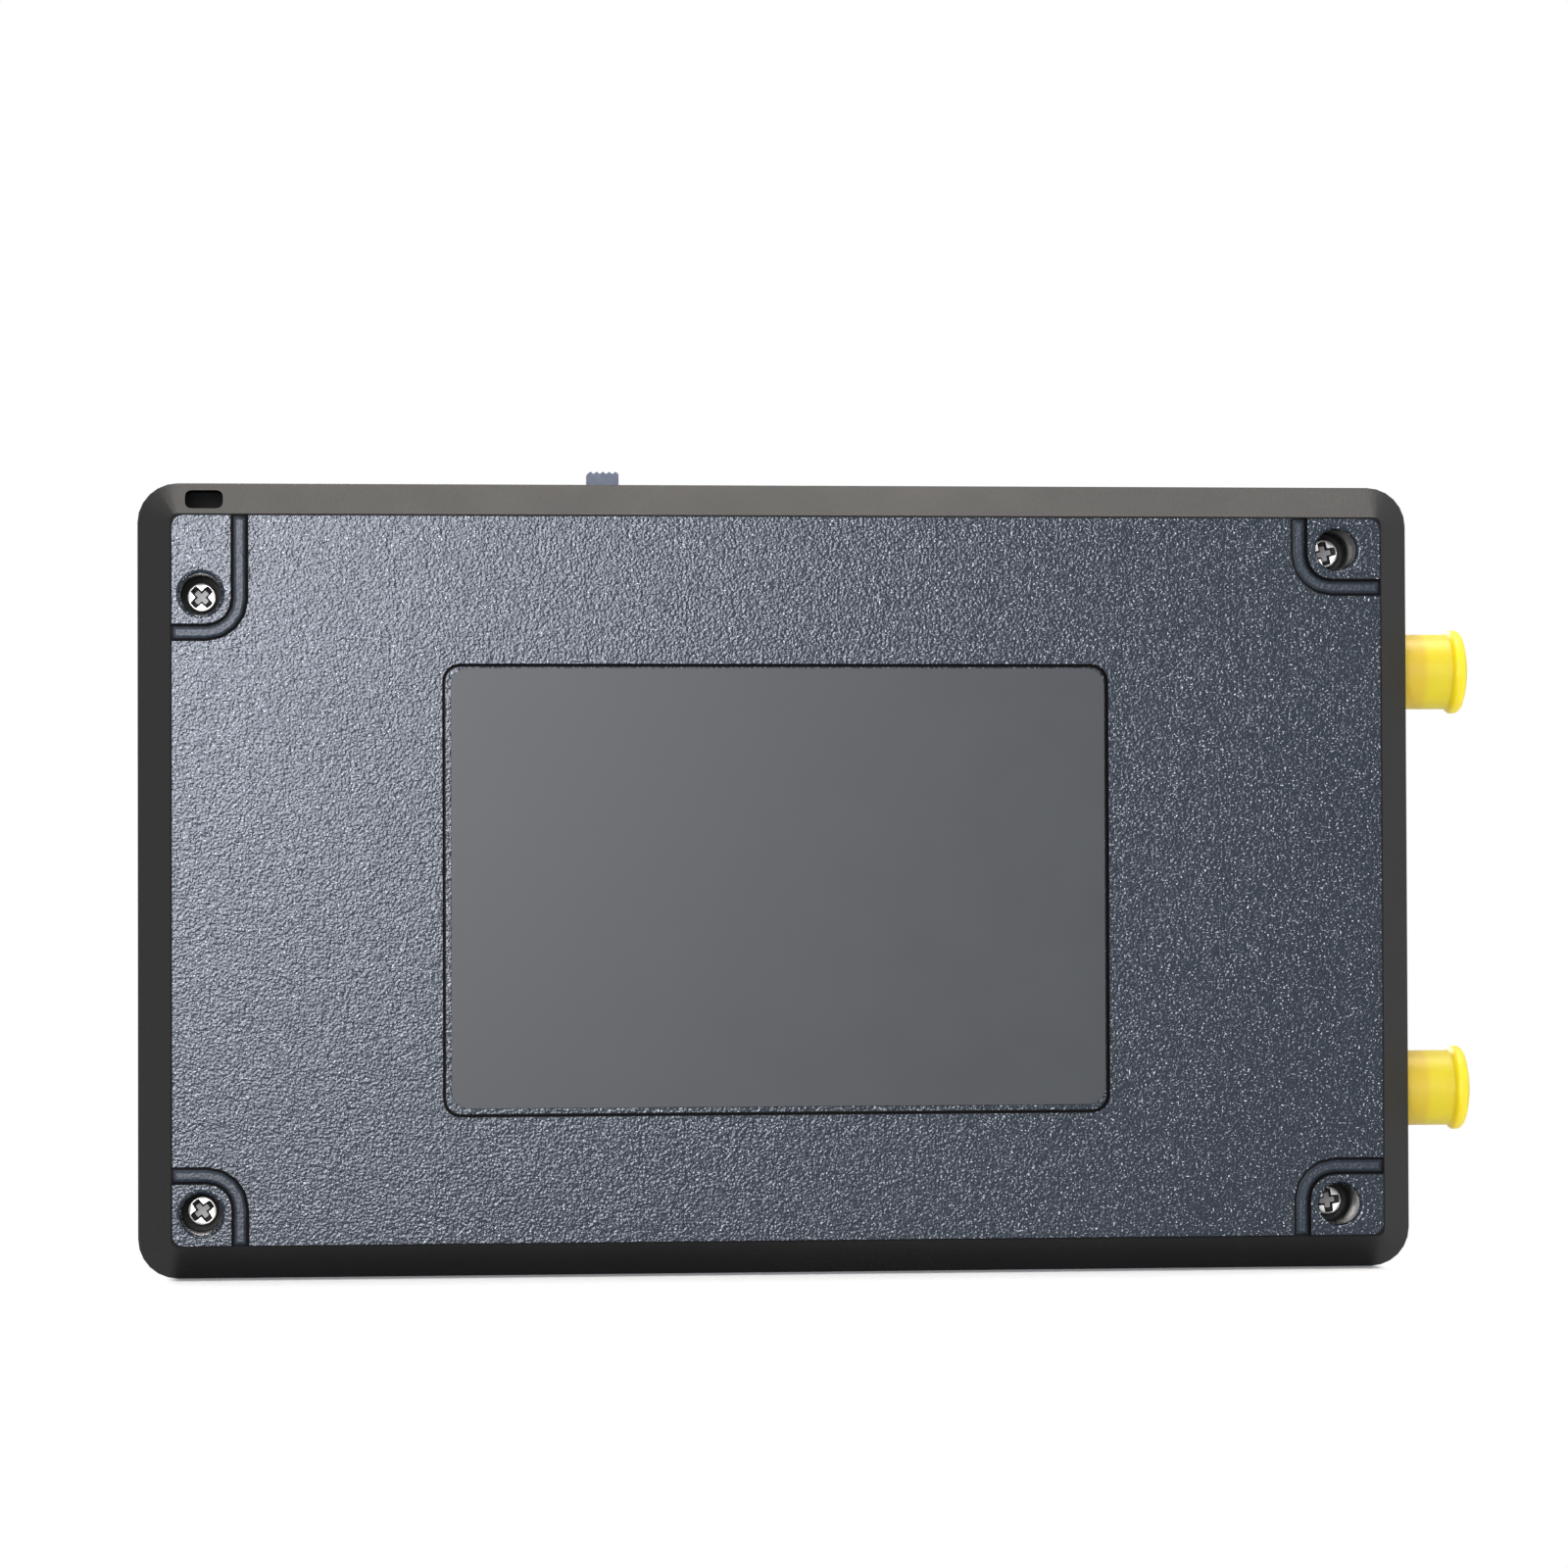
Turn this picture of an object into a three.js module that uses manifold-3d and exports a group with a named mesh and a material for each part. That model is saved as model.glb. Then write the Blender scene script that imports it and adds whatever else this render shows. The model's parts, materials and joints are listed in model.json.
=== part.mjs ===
// Vector network analyzer, a flat handheld instrument standing on one long edge.
// Millimetres: +X toward the two signal ports, +Y from the back cover to the screen, +Z up.
// Pieces are drawn about the middle of the housing, with y = 0 on the back face. The last
// group moves them so that the origin lies on the face that the instrument rests on.
import * as THREE from 'three';
import { mergeVertices } from 'three/addons/utils/BufferGeometryUtils.js';
import Module from 'manifold-3d';

const wasm = await Module();
wasm.setup();

// Fits shared by all pieces
const clearance = 0.25;
const pinClearance = 0.1;
const overrun = 1;

// Counts of flats on round work
const roundSides = 32;
const bossSides = 20;
const screwSides = 16;
const wireSides = 8;
const edgeSteps = 6;
const cornerSteps = 4;

// The two-shell housing
const housing = {
  width: 130,
  height: 80.2,
  wall: 2,
  backWall: 2.2,
  frontWall: 1.7,
  cornerRadius: 4,
  innerRadius: 2.6,
  frontRound: 1.5,
};
const chamfer = { width: 3.3, depth: 3.55, innerGap: 0.19, innerShare: 0.73 };
const panel = { step: 0.3, ledge: 0.12 };
const groove = { width: 1.6, depth: 0.5, offset: 3.87, bendRadius: 3.35 };
const lip = { height: 0.8, thickness: 0.8, root: 1.5 };

// The long screws that hold the two shells together, and the holes they sit in
const coverScrew = {
  headDiameter: 3,
  headHeight: 1.15,
  shankDiameter: 1.8,
  length: 8,
};
const screwHole = { diameter: 4.2, floor: 1.6, wall: 1 };
const screwInset = { left: 6.4, right: 8, edge: 6.65 };
const boss = { wall: 1.6 };

// The lanyard eye in the upper left corner, and the screw that makes room for it
const lanyard = {
  sideInset: 6.7,
  topInset: 0.77,
  width: 3.8,
  height: 2,
  bridge: 2.7,
  exitWidth: 2.3,
  wall: 0.65,
  screwDrop: 4.75,
};

// The rating label, and the recess that it lies in
const label = {
  width: 66.5,
  height: 44.4,
  thickness: 0.25,
  cornerRadius: 1.7,
  shiftX: -0.35,
  shiftZ: -0.9,
};
const labelRecess = { margin: 0.55, offset: 0.22 };

// The board and the screen stacked behind it
const board = { thickness: 1.6, cornerRadius: 2, holeMargin: 0.4 };
const foam = { thickness: 1.1, wideShare: 0.72, highShare: 0.6 };
const screen = { thickness: 2.6, bossGap: 0.9, sideGap: 1.3, cornerRadius: 1 };
const touch = { thickness: 1.1, inset: 0.5 };
const gasket = { thickness: 0.45, lap: 1.2 };
const screenWindow = {
  leftBorder: 14,
  rightBorder: 6,
  edgeBorder: 2.35,
  cornerRadius: 1.5,
  flare: 1.2,
  flareDepth: 1,
};
const screenRib = { thickness: 0.8, height: 4.3, flexSide: 2 };
const boardScrew = {
  headDiameter: 3.2,
  headHeight: 1.1,
  shankDiameter: 1.7,
  length: 5,
  edgeInset: 5.9,
  topShares: [-0.21, 0.26],
  bottomShares: [-0.24, 0.2],
};

// The two signal ports and the push-on caps over them
const port = {
  topInset: 18.75,
  bottomInset: 18.05,
  threadDiameter: 6.35,
  threadEndChamfer: 0.3,
  neckDiameter: 5.4,
  neckLength: 1.2,
  barrelLength: 8.8,
  flangeSize: 8,
  flangeThickness: 1.8,
  boreDiameter: 4.1,
  mouthDiameter: 4.6,
  mouthDepth: 1.9,
  legLength: 4,
  legWidth: 1.2,
  legThickness: 1,
  contactDiameter: 1.27,
  contactBore: 0.9,
  contactBoreDepth: 2.2,
  contactTail: 2.6,
};
const cap = {
  wallGap: 0.3,
  wall: 0.575,
  rimStep: 0.45,
  rimLength: 2.15,
  endGap: 0.35,
  rimRound: 0.35,
  dome: 0.8,
  endWall: 1,
  boreClearance: 0.15,
};

// Controls and sockets along the top edge, each placed by a share of the housing's width
const powerSwitch = {
  placeShare: -0.1369,
  width: 9,
  depth: 3.6,
  height: 3.6,
  travel: 2,
  stemWidth: 1.5,
  stemDepth: 1.1,
  stemLength: 1.6,
  knobWidth: 3.2,
  knobDepth: 2.4,
  knobRise: 1.56,
  teeth: 5,
  toothHeight: 0.25,
};
const jog = {
  placeShare: 0.1692,
  width: 7.4,
  depth: 2.2,
  pushRoom: 0.55,
  wall: 0.3,
  sideWall: 0.8,
  floor: 0.6,
  pivotDrop: 1.65,
  pinDiameter: 0.7,
  yokeRadius: 1.2,
  yokeThickness: 0.4,
  hubRadius: 1.15,
  hubThickness: 0.55,
  armWidth: 1.2,
  tipWidth: 2.8,
  tipDepth: 1.3,
  tipHeight: 1.15,
  tipSink: 0.15,
  ridges: 3,
  ridgeDepth: 0.2,
  swing: 8,
  scoopRadius: 14,
  scoopSink: 1.1,
  scoopWidth: 6.4,
};
const usb = {
  placeShare: 0.0154,
  width: 8.94,
  depth: 3.2,
  length: 7.35,
  sink: 0.6,
  shell: 0.3,
  sideFlat: 0.1,
  rearWall: 1,
  tongueWidth: 6.7,
  tongueDepth: 0.7,
  tongueLength: 4.6,
  baseLength: 1.2,
};
const cardSocket = {
  placeShare: -0.2923,
  width: 14,
  depth: 1.9,
  length: 14.5,
  shell: 0.35,
  slotWidth: 11.6,
  rearWall: 1.2,
  wallSlotMargin: 0.3,
};

// The battery, its adhesive pad, plug and two leads
const battery = {
  leftRoom: 14.9,
  rightRoom: 45.5,
  edgeRoom: 15.8,
  frontRoom: 1.95,
  thickness: 4.2,
  cornerRadius: 2,
  edgeRound: 1,
  terrace: 2.5,
  terraceThickness: 1.2,
};
const batteryPad = { thickness: 0.6, inset: 6 };
const batteryRib = { thickness: 1, rise: 3, lengthShare: 0.5 };
const header = { width: 7, height: 4.4, depth: 3.4, sideRoom: 8, levelShare: -0.2 };
const plug = { width: 5.4, length: 4.6, depth: 2.4, insert: 2, step: 0.5 };
const lead = { diameter: 1.1, pitch: 2, ribGap: 3.5, bulge: 3.2 };

// The ribbon that folds from the screen round to the board
const ribbon = { width: 20, thickness: 0.2, reach: 2.2, bendRadius: 1.2, tail: 4.6 };
const ribbonSocket = { width: 22, depth: 1.1, length: 4 };

// Screened radio section beside the ports
const shield = { width: 24, height: 20, depth: 3, wall: 0.3, wellGap: 0.7, cornerRadius: 0.8 };

// Parts on the board, placed in shares of the board's own width and height
const mcuChip = { width: 10, height: 10, depth: 1.4, xShare: -0.04, zShare: -0.08, legs: 8, square: true };
const memoryChip = { width: 4, height: 5, depth: 1.5, xShare: -0.17, zShare: -0.1, legs: 4 };
const codecChip = { width: 5, height: 5, depth: 0.9, xShare: 0.07, zShare: 0.08, legs: 0 };
const clockChip = { width: 3, height: 3, depth: 0.9, xShare: 0.18, zShare: 0, legs: 0 };
const crystalCan = { width: 5, height: 3.2, depth: 1.2, xShare: 0.18, zShare: 0.11, legs: 0 };
const chargerChip = { width: 3, height: 3, depth: 0.9, xShare: -0.33, zShare: -0.37, legs: 0 };
const powerInductor = { width: 5, height: 5, depth: 2.8, xShare: -0.26, zShare: -0.38, legs: 0 };
const mixer = { width: 4, height: 5, depth: 1.5, legs: 4, spread: 6.5 };
const leg = { reach: 0.9, thickness: 0.2, root: 0.3, widthShare: 0.45 };
const chipEdge = 0.15;

// Depths from the back face to the screen side, each piece seated on the one before
const padBack = housing.backWall + clearance;
const batteryBack = padBack + batteryPad.thickness + clearance;
const partsFace = batteryBack + battery.thickness + battery.frontRoom;
const seatDepth = partsFace - screwHole.floor;
const headBack = seatDepth - clearance - coverScrew.headHeight;
const boardBack = partsFace + clearance;
const boardFront = boardBack + board.thickness;
const parting = (boardBack + boardFront) / 2;
const foamBack = boardFront + clearance;
const screenBack = foamBack + foam.thickness + clearance;
const touchBack = screenBack + screen.thickness + clearance;
const gasketBack = touchBack + touch.thickness + clearance;
const frontInner = gasketBack + gasket.thickness + clearance;
const thickness = frontInner + housing.frontWall;

// Places taken from the housing
const halfWidth = housing.width / 2;
const halfHeight = housing.height / 2;
const innerTop = halfHeight - housing.wall;
const controlTop = innerTop - clearance;
const flangeFront = halfWidth - housing.wall - clearance;
const flangeBack = flangeFront - port.flangeThickness;
const barrelEnd = flangeFront + port.barrelLength;
const switchPlace = housing.width * powerSwitch.placeShare;
const jogPlace = housing.width * jog.placeShare;
const usbPlace = housing.width * usb.placeShare;
const usbRadius = usb.depth / 2 - usb.sideFlat;
const cardPlace = housing.width * cardSocket.placeShare;
const portLevels = [halfHeight - port.topInset, port.bottomInset - halfHeight];
const boardInset = housing.wall + clearance + lip.thickness + clearance;
const boardEdges = { left: boardInset - halfWidth, right: flangeBack - clearance };
const boardSize = { width: boardEdges.right - boardEdges.left, height: housing.height - 2 * boardInset };
const boardMiddle = (boardEdges.left + boardEdges.right) / 2;
const batteryEnds = [boardEdges.left + battery.leftRoom, boardEdges.right - battery.rightRoom];
const batteryMiddle = (batteryEnds[0] + batteryEnds[1]) / 2;
const batteryWidth = batteryEnds[1] - batteryEnds[0];
const batteryHeight = boardSize.height - 2 * battery.edgeRoom;

const screwPlaces = [
  { x: screwInset.left - halfWidth, z: halfHeight - screwInset.edge - lanyard.screwDrop, side: -1, end: 1 },
  { x: halfWidth - screwInset.right, z: halfHeight - screwInset.edge, side: 1, end: 1 },
  { x: screwInset.left - halfWidth, z: screwInset.edge - halfHeight, side: -1, end: -1 },
  { x: halfWidth - screwInset.right, z: screwInset.edge - halfHeight, side: 1, end: -1 },
];
const boardScrewLevel = halfHeight - boardScrew.edgeInset;
const boardScrewPlaces = [
  ...boardScrew.topShares.map((share) => ({ x: housing.width * share, z: boardScrewLevel })),
  ...boardScrew.bottomShares.map((share) => ({ x: housing.width * share, z: -boardScrewLevel })),
];

// The screen fills the room between the screw bosses on all four sides
const bossRadius = coverScrew.shankDiameter / 2 + boss.wall;
const wellRadius = screwHole.diameter / 2 + screwHole.wall;
const boardBossRadius = boardScrew.shankDiameter / 2 + boss.wall;
const screenLeft = screwPlaces[0].x + bossRadius + screen.sideGap;
const screenRight = screwPlaces[1].x - bossRadius - screen.sideGap;
const screenMiddle = (screenLeft + screenRight) / 2;
const screenWidth = screenRight - screenLeft;
const screenEdge = boardScrew.edgeInset + boardBossRadius + screen.bossGap;
const screenHeight = housing.height - 2 * screenEdge;
const windowMiddle = screenMiddle + (screenWindow.leftBorder - screenWindow.rightBorder) / 2;
const windowWidth = screenWidth - screenWindow.leftBorder - screenWindow.rightBorder;
const windowHeight = screenHeight - 2 * screenWindow.edgeBorder;

// Turns a three.js geometry into a solid that can be cut and joined
function toSolid(geometry) {
  geometry.deleteAttribute('normal');
  geometry.deleteAttribute('uv');
  const merged = mergeVertices(geometry);
  const corners = merged.index.array;
  const triangles = [];
  for (let i = 0; i < corners.length; i += 3) {
    const [a, b, c] = corners.slice(i, i + 3);
    if (a !== b && b !== c && c !== a) triangles.push(a, b, c);
  }
  return new wasm.Manifold(new wasm.Mesh({
    numProp: 3,
    vertProperties: new Float32Array(merged.attributes.position.array),
    triVerts: new Uint32Array(triangles),
  }));
}

// Turns a finished solid back into a three.js geometry
function toGeometry(solid) {
  const { vertProperties, triVerts } = solid.getMesh();
  const geometry = new THREE.BufferGeometry();
  geometry.setAttribute('position', new THREE.BufferAttribute(new Float32Array(vertProperties), 3));
  geometry.setIndex(new THREE.BufferAttribute(new Uint32Array(triVerts), 1));
  geometry.computeVertexNormals();
  return geometry;
}

function join(solids) {
  return solids.reduce((whole, solid) => whole.add(solid));
}

function cut(solid, tools) {
  return tools.reduce((rest, tool) => rest.subtract(tool), solid);
}

// Shape functions: a flat outline has x across and the second direction up
function roundedRect(width, height, radius, middleX = 0, middleZ = 0) {
  const right = middleX + width / 2;
  const left = middleX - width / 2;
  const top = middleZ + height / 2;
  const bottom = middleZ - height / 2;
  const quarter = Math.PI / 2;
  const shape = new THREE.Shape();
  shape.absarc(right - radius, top - radius, radius, 0, quarter);
  shape.absarc(left + radius, top - radius, radius, quarter, 2 * quarter);
  shape.absarc(left + radius, bottom + radius, radius, 2 * quarter, 3 * quarter);
  shape.absarc(right - radius, bottom + radius, radius, 3 * quarter, 4 * quarter);
  return shape;
}

function polygon(points) {
  return new THREE.Shape(points.map(([x, z]) => new THREE.Vector2(x, z)));
}

function rect(x, z) {
  return polygon([[x[0], z[0]], [x[1], z[0]], [x[1], z[1]], [x[0], z[1]]]);
}

function arcPoints(middle, radius, fromAngle, toAngle, steps) {
  const points = [];
  for (let i = 0; i <= steps; i += 1) {
    const angle = fromAngle + (toAngle - fromAngle) * (i / steps);
    points.push([middle[0] + radius * Math.cos(angle), middle[1] + radius * Math.sin(angle)]);
  }
  return points;
}

// The outline of the housing seen from behind, drawn in by a given amount. Inside the wall
// the corners follow the hollow's own, rounder corner.
function outline(inset) {
  const inWall = inset < housing.wall;
  const corner = inWall ? housing.cornerRadius - inset : housing.innerRadius + housing.wall - inset;
  const radius = Math.max(corner, clearance);
  return roundedRect(housing.width - 2 * inset, housing.height - 2 * inset, radius);
}

// Extrusions between two depths, two heights, or two places along the housing
function plate(shape, back, front) {
  const geometry = new THREE.ExtrudeGeometry(shape, {
    depth: front - back,
    bevelEnabled: false,
    curveSegments: cornerSteps / 2,
  });
  geometry.rotateX(Math.PI / 2);
  geometry.translate(0, front, 0);
  return toSolid(geometry);
}

function edgedPlate(shape, back, front, edgeWidth, edgeDepth, steps) {
  const geometry = new THREE.ExtrudeGeometry(shape, {
    depth: front - back - 2 * edgeDepth,
    bevelEnabled: true,
    bevelThickness: edgeDepth,
    bevelSize: edgeWidth,
    bevelOffset: -edgeWidth,
    bevelSegments: steps,
    curveSegments: edgeSteps / 2,
  });
  geometry.rotateX(Math.PI / 2);
  geometry.translate(0, front - edgeDepth, 0);
  return toSolid(geometry);
}

function column(shape, bottom, top) {
  const geometry = new THREE.ExtrudeGeometry(shape, {
    depth: top - bottom,
    bevelEnabled: false,
    curveSegments: cornerSteps / 2,
  });
  geometry.translate(0, 0, bottom);
  return toSolid(geometry);
}

function block(x, y, z) {
  const geometry = new THREE.BoxGeometry(x[1] - x[0], y[1] - y[0], z[1] - z[0]);
  geometry.translate((x[0] + x[1]) / 2, (y[0] + y[1]) / 2, (z[0] + z[1]) / 2);
  return toSolid(geometry);
}

function span(middle, size) {
  return [middle - size / 2, middle + size / 2];
}

// Round work: a rod along the depth, and revolved profiles of [radius, along] points
function rod(diameter, place, back, front, sides) {
  const geometry = new THREE.CylinderGeometry(diameter / 2, diameter / 2, front - back, sides);
  geometry.translate(place.x, (front + back) / 2, place.z);
  return toSolid(geometry);
}

function turned(profile, sides) {
  return new THREE.LatheGeometry(profile.map(([radius, along]) => new THREE.Vector2(radius, along)), sides);
}

function turnedInDepth(profile, place, sides) {
  const geometry = turned(profile, sides);
  geometry.translate(place.x, 0, place.z);
  return toSolid(geometry);
}

function turnedAcross(profile, level, sides) {
  const geometry = turned(profile, sides);
  geometry.rotateZ(-Math.PI / 2);
  geometry.translate(0, parting, level);
  return toSolid(geometry);
}

function rodAcross(diameter, from, to, level, sides) {
  return turnedAcross([[0, from], [diameter / 2, from], [diameter / 2, to], [0, to]], level, sides);
}

// A pan-head screw with a cross recess, its head toward the back of the instrument
function screwSolid(screw, place, start) {
  const headRadius = screw.headDiameter / 2;
  const shankRadius = screw.shankDiameter / 2;
  const under = start + screw.headHeight;
  const tip = under + screw.length;
  const crown = screw.headHeight / 2;
  const body = turnedInDepth([
    [0, start],
    [headRadius - crown / 2, start],
    [headRadius, start + crown],
    [headRadius, under],
    [shankRadius, under],
    [shankRadius, tip - shankRadius],
    [0, tip],
  ], place, screwSides);
  const slotLength = headRadius;
  const slotWidth = shankRadius / 2;
  const slotDepth = [start - overrun, start + crown];
  return cut(body, [
    block(span(place.x, slotLength), slotDepth, span(place.z, slotWidth)),
    block(span(place.x, slotWidth), slotDepth, span(place.z, slotLength)),
  ]);
}

// The channel that fences each screw off from the textured panel
function grooveCut(place) {
  const half = groove.width / 2;
  const bend = groove.bendRadius;
  const far = housing.cornerRadius + screwInset.right + lanyard.screwDrop;
  const corner = [place.x - place.side * groove.offset, place.z - place.end * groove.offset];
  const band = [
    [far, -half],
    ...arcPoints([bend, bend], bend + half, -Math.PI / 2, -Math.PI, cornerSteps),
    [-half, far],
    [half, far],
    ...arcPoints([bend, bend], bend - half, Math.PI, Math.PI * 1.5, cornerSteps),
    [far, half],
  ];
  const placed = band.map(([u, v]) => [corner[0] + place.side * u, corner[1] + place.end * v]);
  return plate(polygon(placed), -overrun, groove.depth);
}

// The lanyard eye: in through the chamfer, round a bridge, and out at the top edge
function lanyardCuts() {
  const middle = lanyard.sideInset - halfWidth;
  const top = halfHeight - lanyard.topInset;
  const round = lanyard.height / 3;
  const entry = roundedRect(lanyard.width, lanyard.height, round, middle, top - lanyard.height / 2);
  const exitBack = chamfer.depth + lanyard.bridge;
  const exitFront = exitBack + lanyard.exitWidth;
  return [
    plate(entry, -overrun, exitFront),
    block(
      span(middle, lanyard.width),
      [exitBack, exitFront],
      [top - lanyard.height / 2, halfHeight + overrun],
    ),
  ];
}

// The solid corner that keeps the lanyard eye closed from the inside
function lanyardCorner() {
  const right = lanyard.sideInset + lanyard.width / 2 + lanyard.wall - halfWidth;
  const bottom = halfHeight - lanyard.topInset - lanyard.height - 2 * lanyard.wall;
  return block([-halfWidth, right], [housing.backWall / 2, partsFace], [bottom, halfHeight]);
}

// Openings that both shells share round the ports, the controls and the sockets
function sharedOpenings() {
  const wallTop = [innerTop - overrun, halfHeight + overrun];
  const knobMiddle = partsFace - powerSwitch.depth / 2;
  const knobTravel = [
    switchPlace - powerSwitch.knobWidth / 2 - clearance,
    switchPlace + powerSwitch.knobWidth / 2 + powerSwitch.travel + clearance,
  ];
  const jogMiddle = partsFace - jog.depth / 2;
  const jogReach = halfHeight - (controlTop - jog.pivotDrop);
  const jogSwing = jogReach * Math.sin(THREE.MathUtils.degToRad(jog.swing));
  const usbHole = roundedRect(
    usb.width + 2 * clearance,
    usb.depth + 2 * clearance,
    usbRadius + clearance,
    usbPlace,
    partsFace - usb.depth / 2,
  );
  const cardWide = cardSocket.slotWidth + 2 * cardSocket.wallSlotMargin;
  const cardDeep = cardSocket.depth - 2 * cardSocket.shell + 2 * cardSocket.wallSlotMargin;
  const scoop = turnedInDepth([
    [0, jogMiddle - jog.scoopWidth / 2],
    [jog.scoopRadius, jogMiddle - jog.scoopWidth / 2],
    [jog.scoopRadius, jogMiddle + jog.scoopWidth / 2],
    [0, jogMiddle + jog.scoopWidth / 2],
  ], { x: jogPlace, z: halfHeight + jog.scoopRadius - jog.scoopSink }, 2 * roundSides);
  const ports = portLevels.flatMap((level) => [
    rodAcross(port.threadDiameter + 2 * clearance, flangeBack, halfWidth + overrun, level, roundSides),
    block(
      [flangeBack - clearance, flangeFront + 2 * clearance],
      span(parting, port.flangeSize + 2 * clearance),
      span(level, port.flangeSize + 2 * clearance),
    ),
  ]);
  return [
    ...ports,
    block(knobTravel, span(knobMiddle, powerSwitch.knobDepth + 2 * clearance), wallTop),
    block(
      span(jogPlace, jog.tipWidth + 2 * jogSwing + 2 * clearance),
      span(jogMiddle, jog.tipDepth + 2 * clearance),
      wallTop,
    ),
    scoop,
    column(usbHole, ...wallTop),
    block(span(cardPlace, cardWide), span(partsFace - cardSocket.depth / 2, cardDeep), wallTop),
  ];
}

// The back shell: chamfered rim, raised textured panel, screw wells and battery ribs
function backCover() {
  const farEnd = parting + chamfer.depth + overrun;
  const beyond = block(
    [-housing.width, housing.width],
    [parting, farEnd + overrun],
    [-housing.height, housing.height],
  );
  const slope = Math.min(chamfer.width, housing.cornerRadius - clearance);
  const body = edgedPlate(outline(0), panel.step, farEnd, slope, chamfer.depth, 1).subtract(beyond);
  const raised = plate(outline(chamfer.width + panel.ledge), 0, housing.backWall / 2);
  const hollow = edgedPlate(
    outline(housing.wall),
    housing.backWall,
    farEnd,
    housing.innerRadius - chamfer.innerGap,
    chamfer.depth * chamfer.innerShare,
    1,
  );
  const wells = screwPlaces.map((place) => {
    return rod(2 * wellRadius, place, housing.backWall / 2, partsFace, bossSides);
  });
  const inside = join([...wells, lanyardCorner(), ...batteryRibs()]).intersect(body);
  const recess = roundedRect(
    label.width + 2 * labelRecess.margin,
    label.height + 2 * labelRecess.margin,
    label.cornerRadius,
    label.shiftX - labelRecess.offset,
    label.shiftZ - labelRecess.offset,
  );
  const face = plate(outline(chamfer.width + panel.ledge), -2 * overrun, groove.depth + overrun);
  return cut(join([body, raised]).subtract(hollow).add(inside), [
    ...screwPlaces.map((place) => rod(screwHole.diameter, place, -overrun, seatDepth, roundSides)),
    ...screwPlaces.map((place) => rod(
      coverScrew.shankDiameter + 2 * clearance,
      place,
      seatDepth - overrun,
      partsFace + overrun,
      screwSides,
    )),
    ...screwPlaces.map((place) => grooveCut(place).intersect(face)),
    plate(recess, -overrun, label.thickness + clearance + pinClearance),
    ...lanyardCuts(),
    ...sharedOpenings(),
  ]);
}

// Low ribs on the inside of the back cover, at the two ends of the battery
function batteryRibs() {
  const offset = clearance + batteryRib.thickness / 2;
  const depth = [housing.backWall / 2, housing.backWall + batteryRib.rise];
  const height = span(0, batteryHeight * batteryRib.lengthShare);
  return [
    block(span(batteryEnds[0] - battery.terrace - offset, batteryRib.thickness), depth, height),
    block(span(batteryEnds[1] + offset, batteryRib.thickness), depth, height),
  ];
}

// The front shell: rounded frame, screen window, locating lip, bosses and screen rib
function frontBezel() {
  const nearEnd = parting - housing.frontRound - overrun;
  const behind = block(
    [-housing.width, housing.width],
    [nearEnd - overrun, parting],
    [-housing.height, housing.height],
  );
  const body = edgedPlate(
    outline(0),
    nearEnd,
    thickness,
    housing.frontRound,
    housing.frontRound,
    edgeSteps / 2,
  ).subtract(behind);
  const hollow = plate(outline(housing.wall), parting - overrun, frontInner);
  const lipInset = housing.wall + clearance;
  const lipHollow = outline(lipInset + lip.thickness);
  const lipRing = join([
    plate(outline(lipInset), parting - lip.height, parting + lip.root),
    plate(outline(housing.wall / 2), parting, parting + lip.root),
  ]).subtract(plate(lipHollow, parting - lip.height - overrun, parting + lip.root + overrun));
  const ribWidth = screenWidth + 2 * clearance;
  const ribHeight = screenHeight + 2 * clearance;
  const ribBack = frontInner - screenRib.height;
  const rib = cut(plate(
    roundedRect(
      ribWidth + 2 * screenRib.thickness,
      ribHeight + 2 * screenRib.thickness,
      screen.cornerRadius,
      screenMiddle,
    ),
    ribBack,
    frontInner + housing.frontWall / 2,
  ), [
    plate(roundedRect(ribWidth, ribHeight, screen.cornerRadius, screenMiddle), ribBack - overrun, frontInner),
    block(
      [screenLeft - overrun - screenRib.thickness, screenLeft],
      [ribBack - overrun, frontInner],
      span(0, ribbon.width + 2 * screenRib.flexSide),
    ),
  ]);
  const bossFace = boardFront + clearance;
  const bossRoot = frontInner + housing.frontWall / 2;
  const bosses = [
    ...screwPlaces.map((place) => rod(2 * bossRadius, place, bossFace, bossRoot, bossSides)),
    ...boardScrewPlaces.map((place) => rod(2 * boardBossRadius, place, bossFace, bossRoot, bossSides)),
  ];
  const coverTip = headBack + coverScrew.headHeight + coverScrew.length;
  const boardTip = partsFace + boardScrew.length;
  const pilots = [
    ...screwPlaces.map((place) => rod(
      coverScrew.shankDiameter + 2 * pinClearance,
      place,
      bossFace - overrun,
      coverTip + clearance,
      screwSides,
    )),
    ...boardScrewPlaces.map((place) => rod(
      boardScrew.shankDiameter + 2 * pinClearance,
      place,
      bossFace - overrun,
      boardTip + clearance,
      screwSides,
    )),
  ];
  const windowShape = roundedRect(
    windowWidth,
    windowHeight,
    screenWindow.cornerRadius,
    windowMiddle,
  );
  const flareShape = roundedRect(
    windowWidth + 2 * screenWindow.flare,
    windowHeight + 2 * screenWindow.flare,
    screenWindow.cornerRadius + screenWindow.flare,
    windowMiddle,
  );
  const flare = edgedPlate(
    flareShape,
    thickness - screenWindow.flareDepth,
    thickness + screenWindow.flareDepth + overrun,
    screenWindow.flare,
    screenWindow.flareDepth,
    1,
  );
  return cut(join([body.subtract(hollow), lipRing, rib, ...bosses]), [
    ...pilots,
    plate(windowShape, frontInner - overrun, thickness + overrun),
    flare,
    ...sharedOpenings(),
  ]);
}

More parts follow.
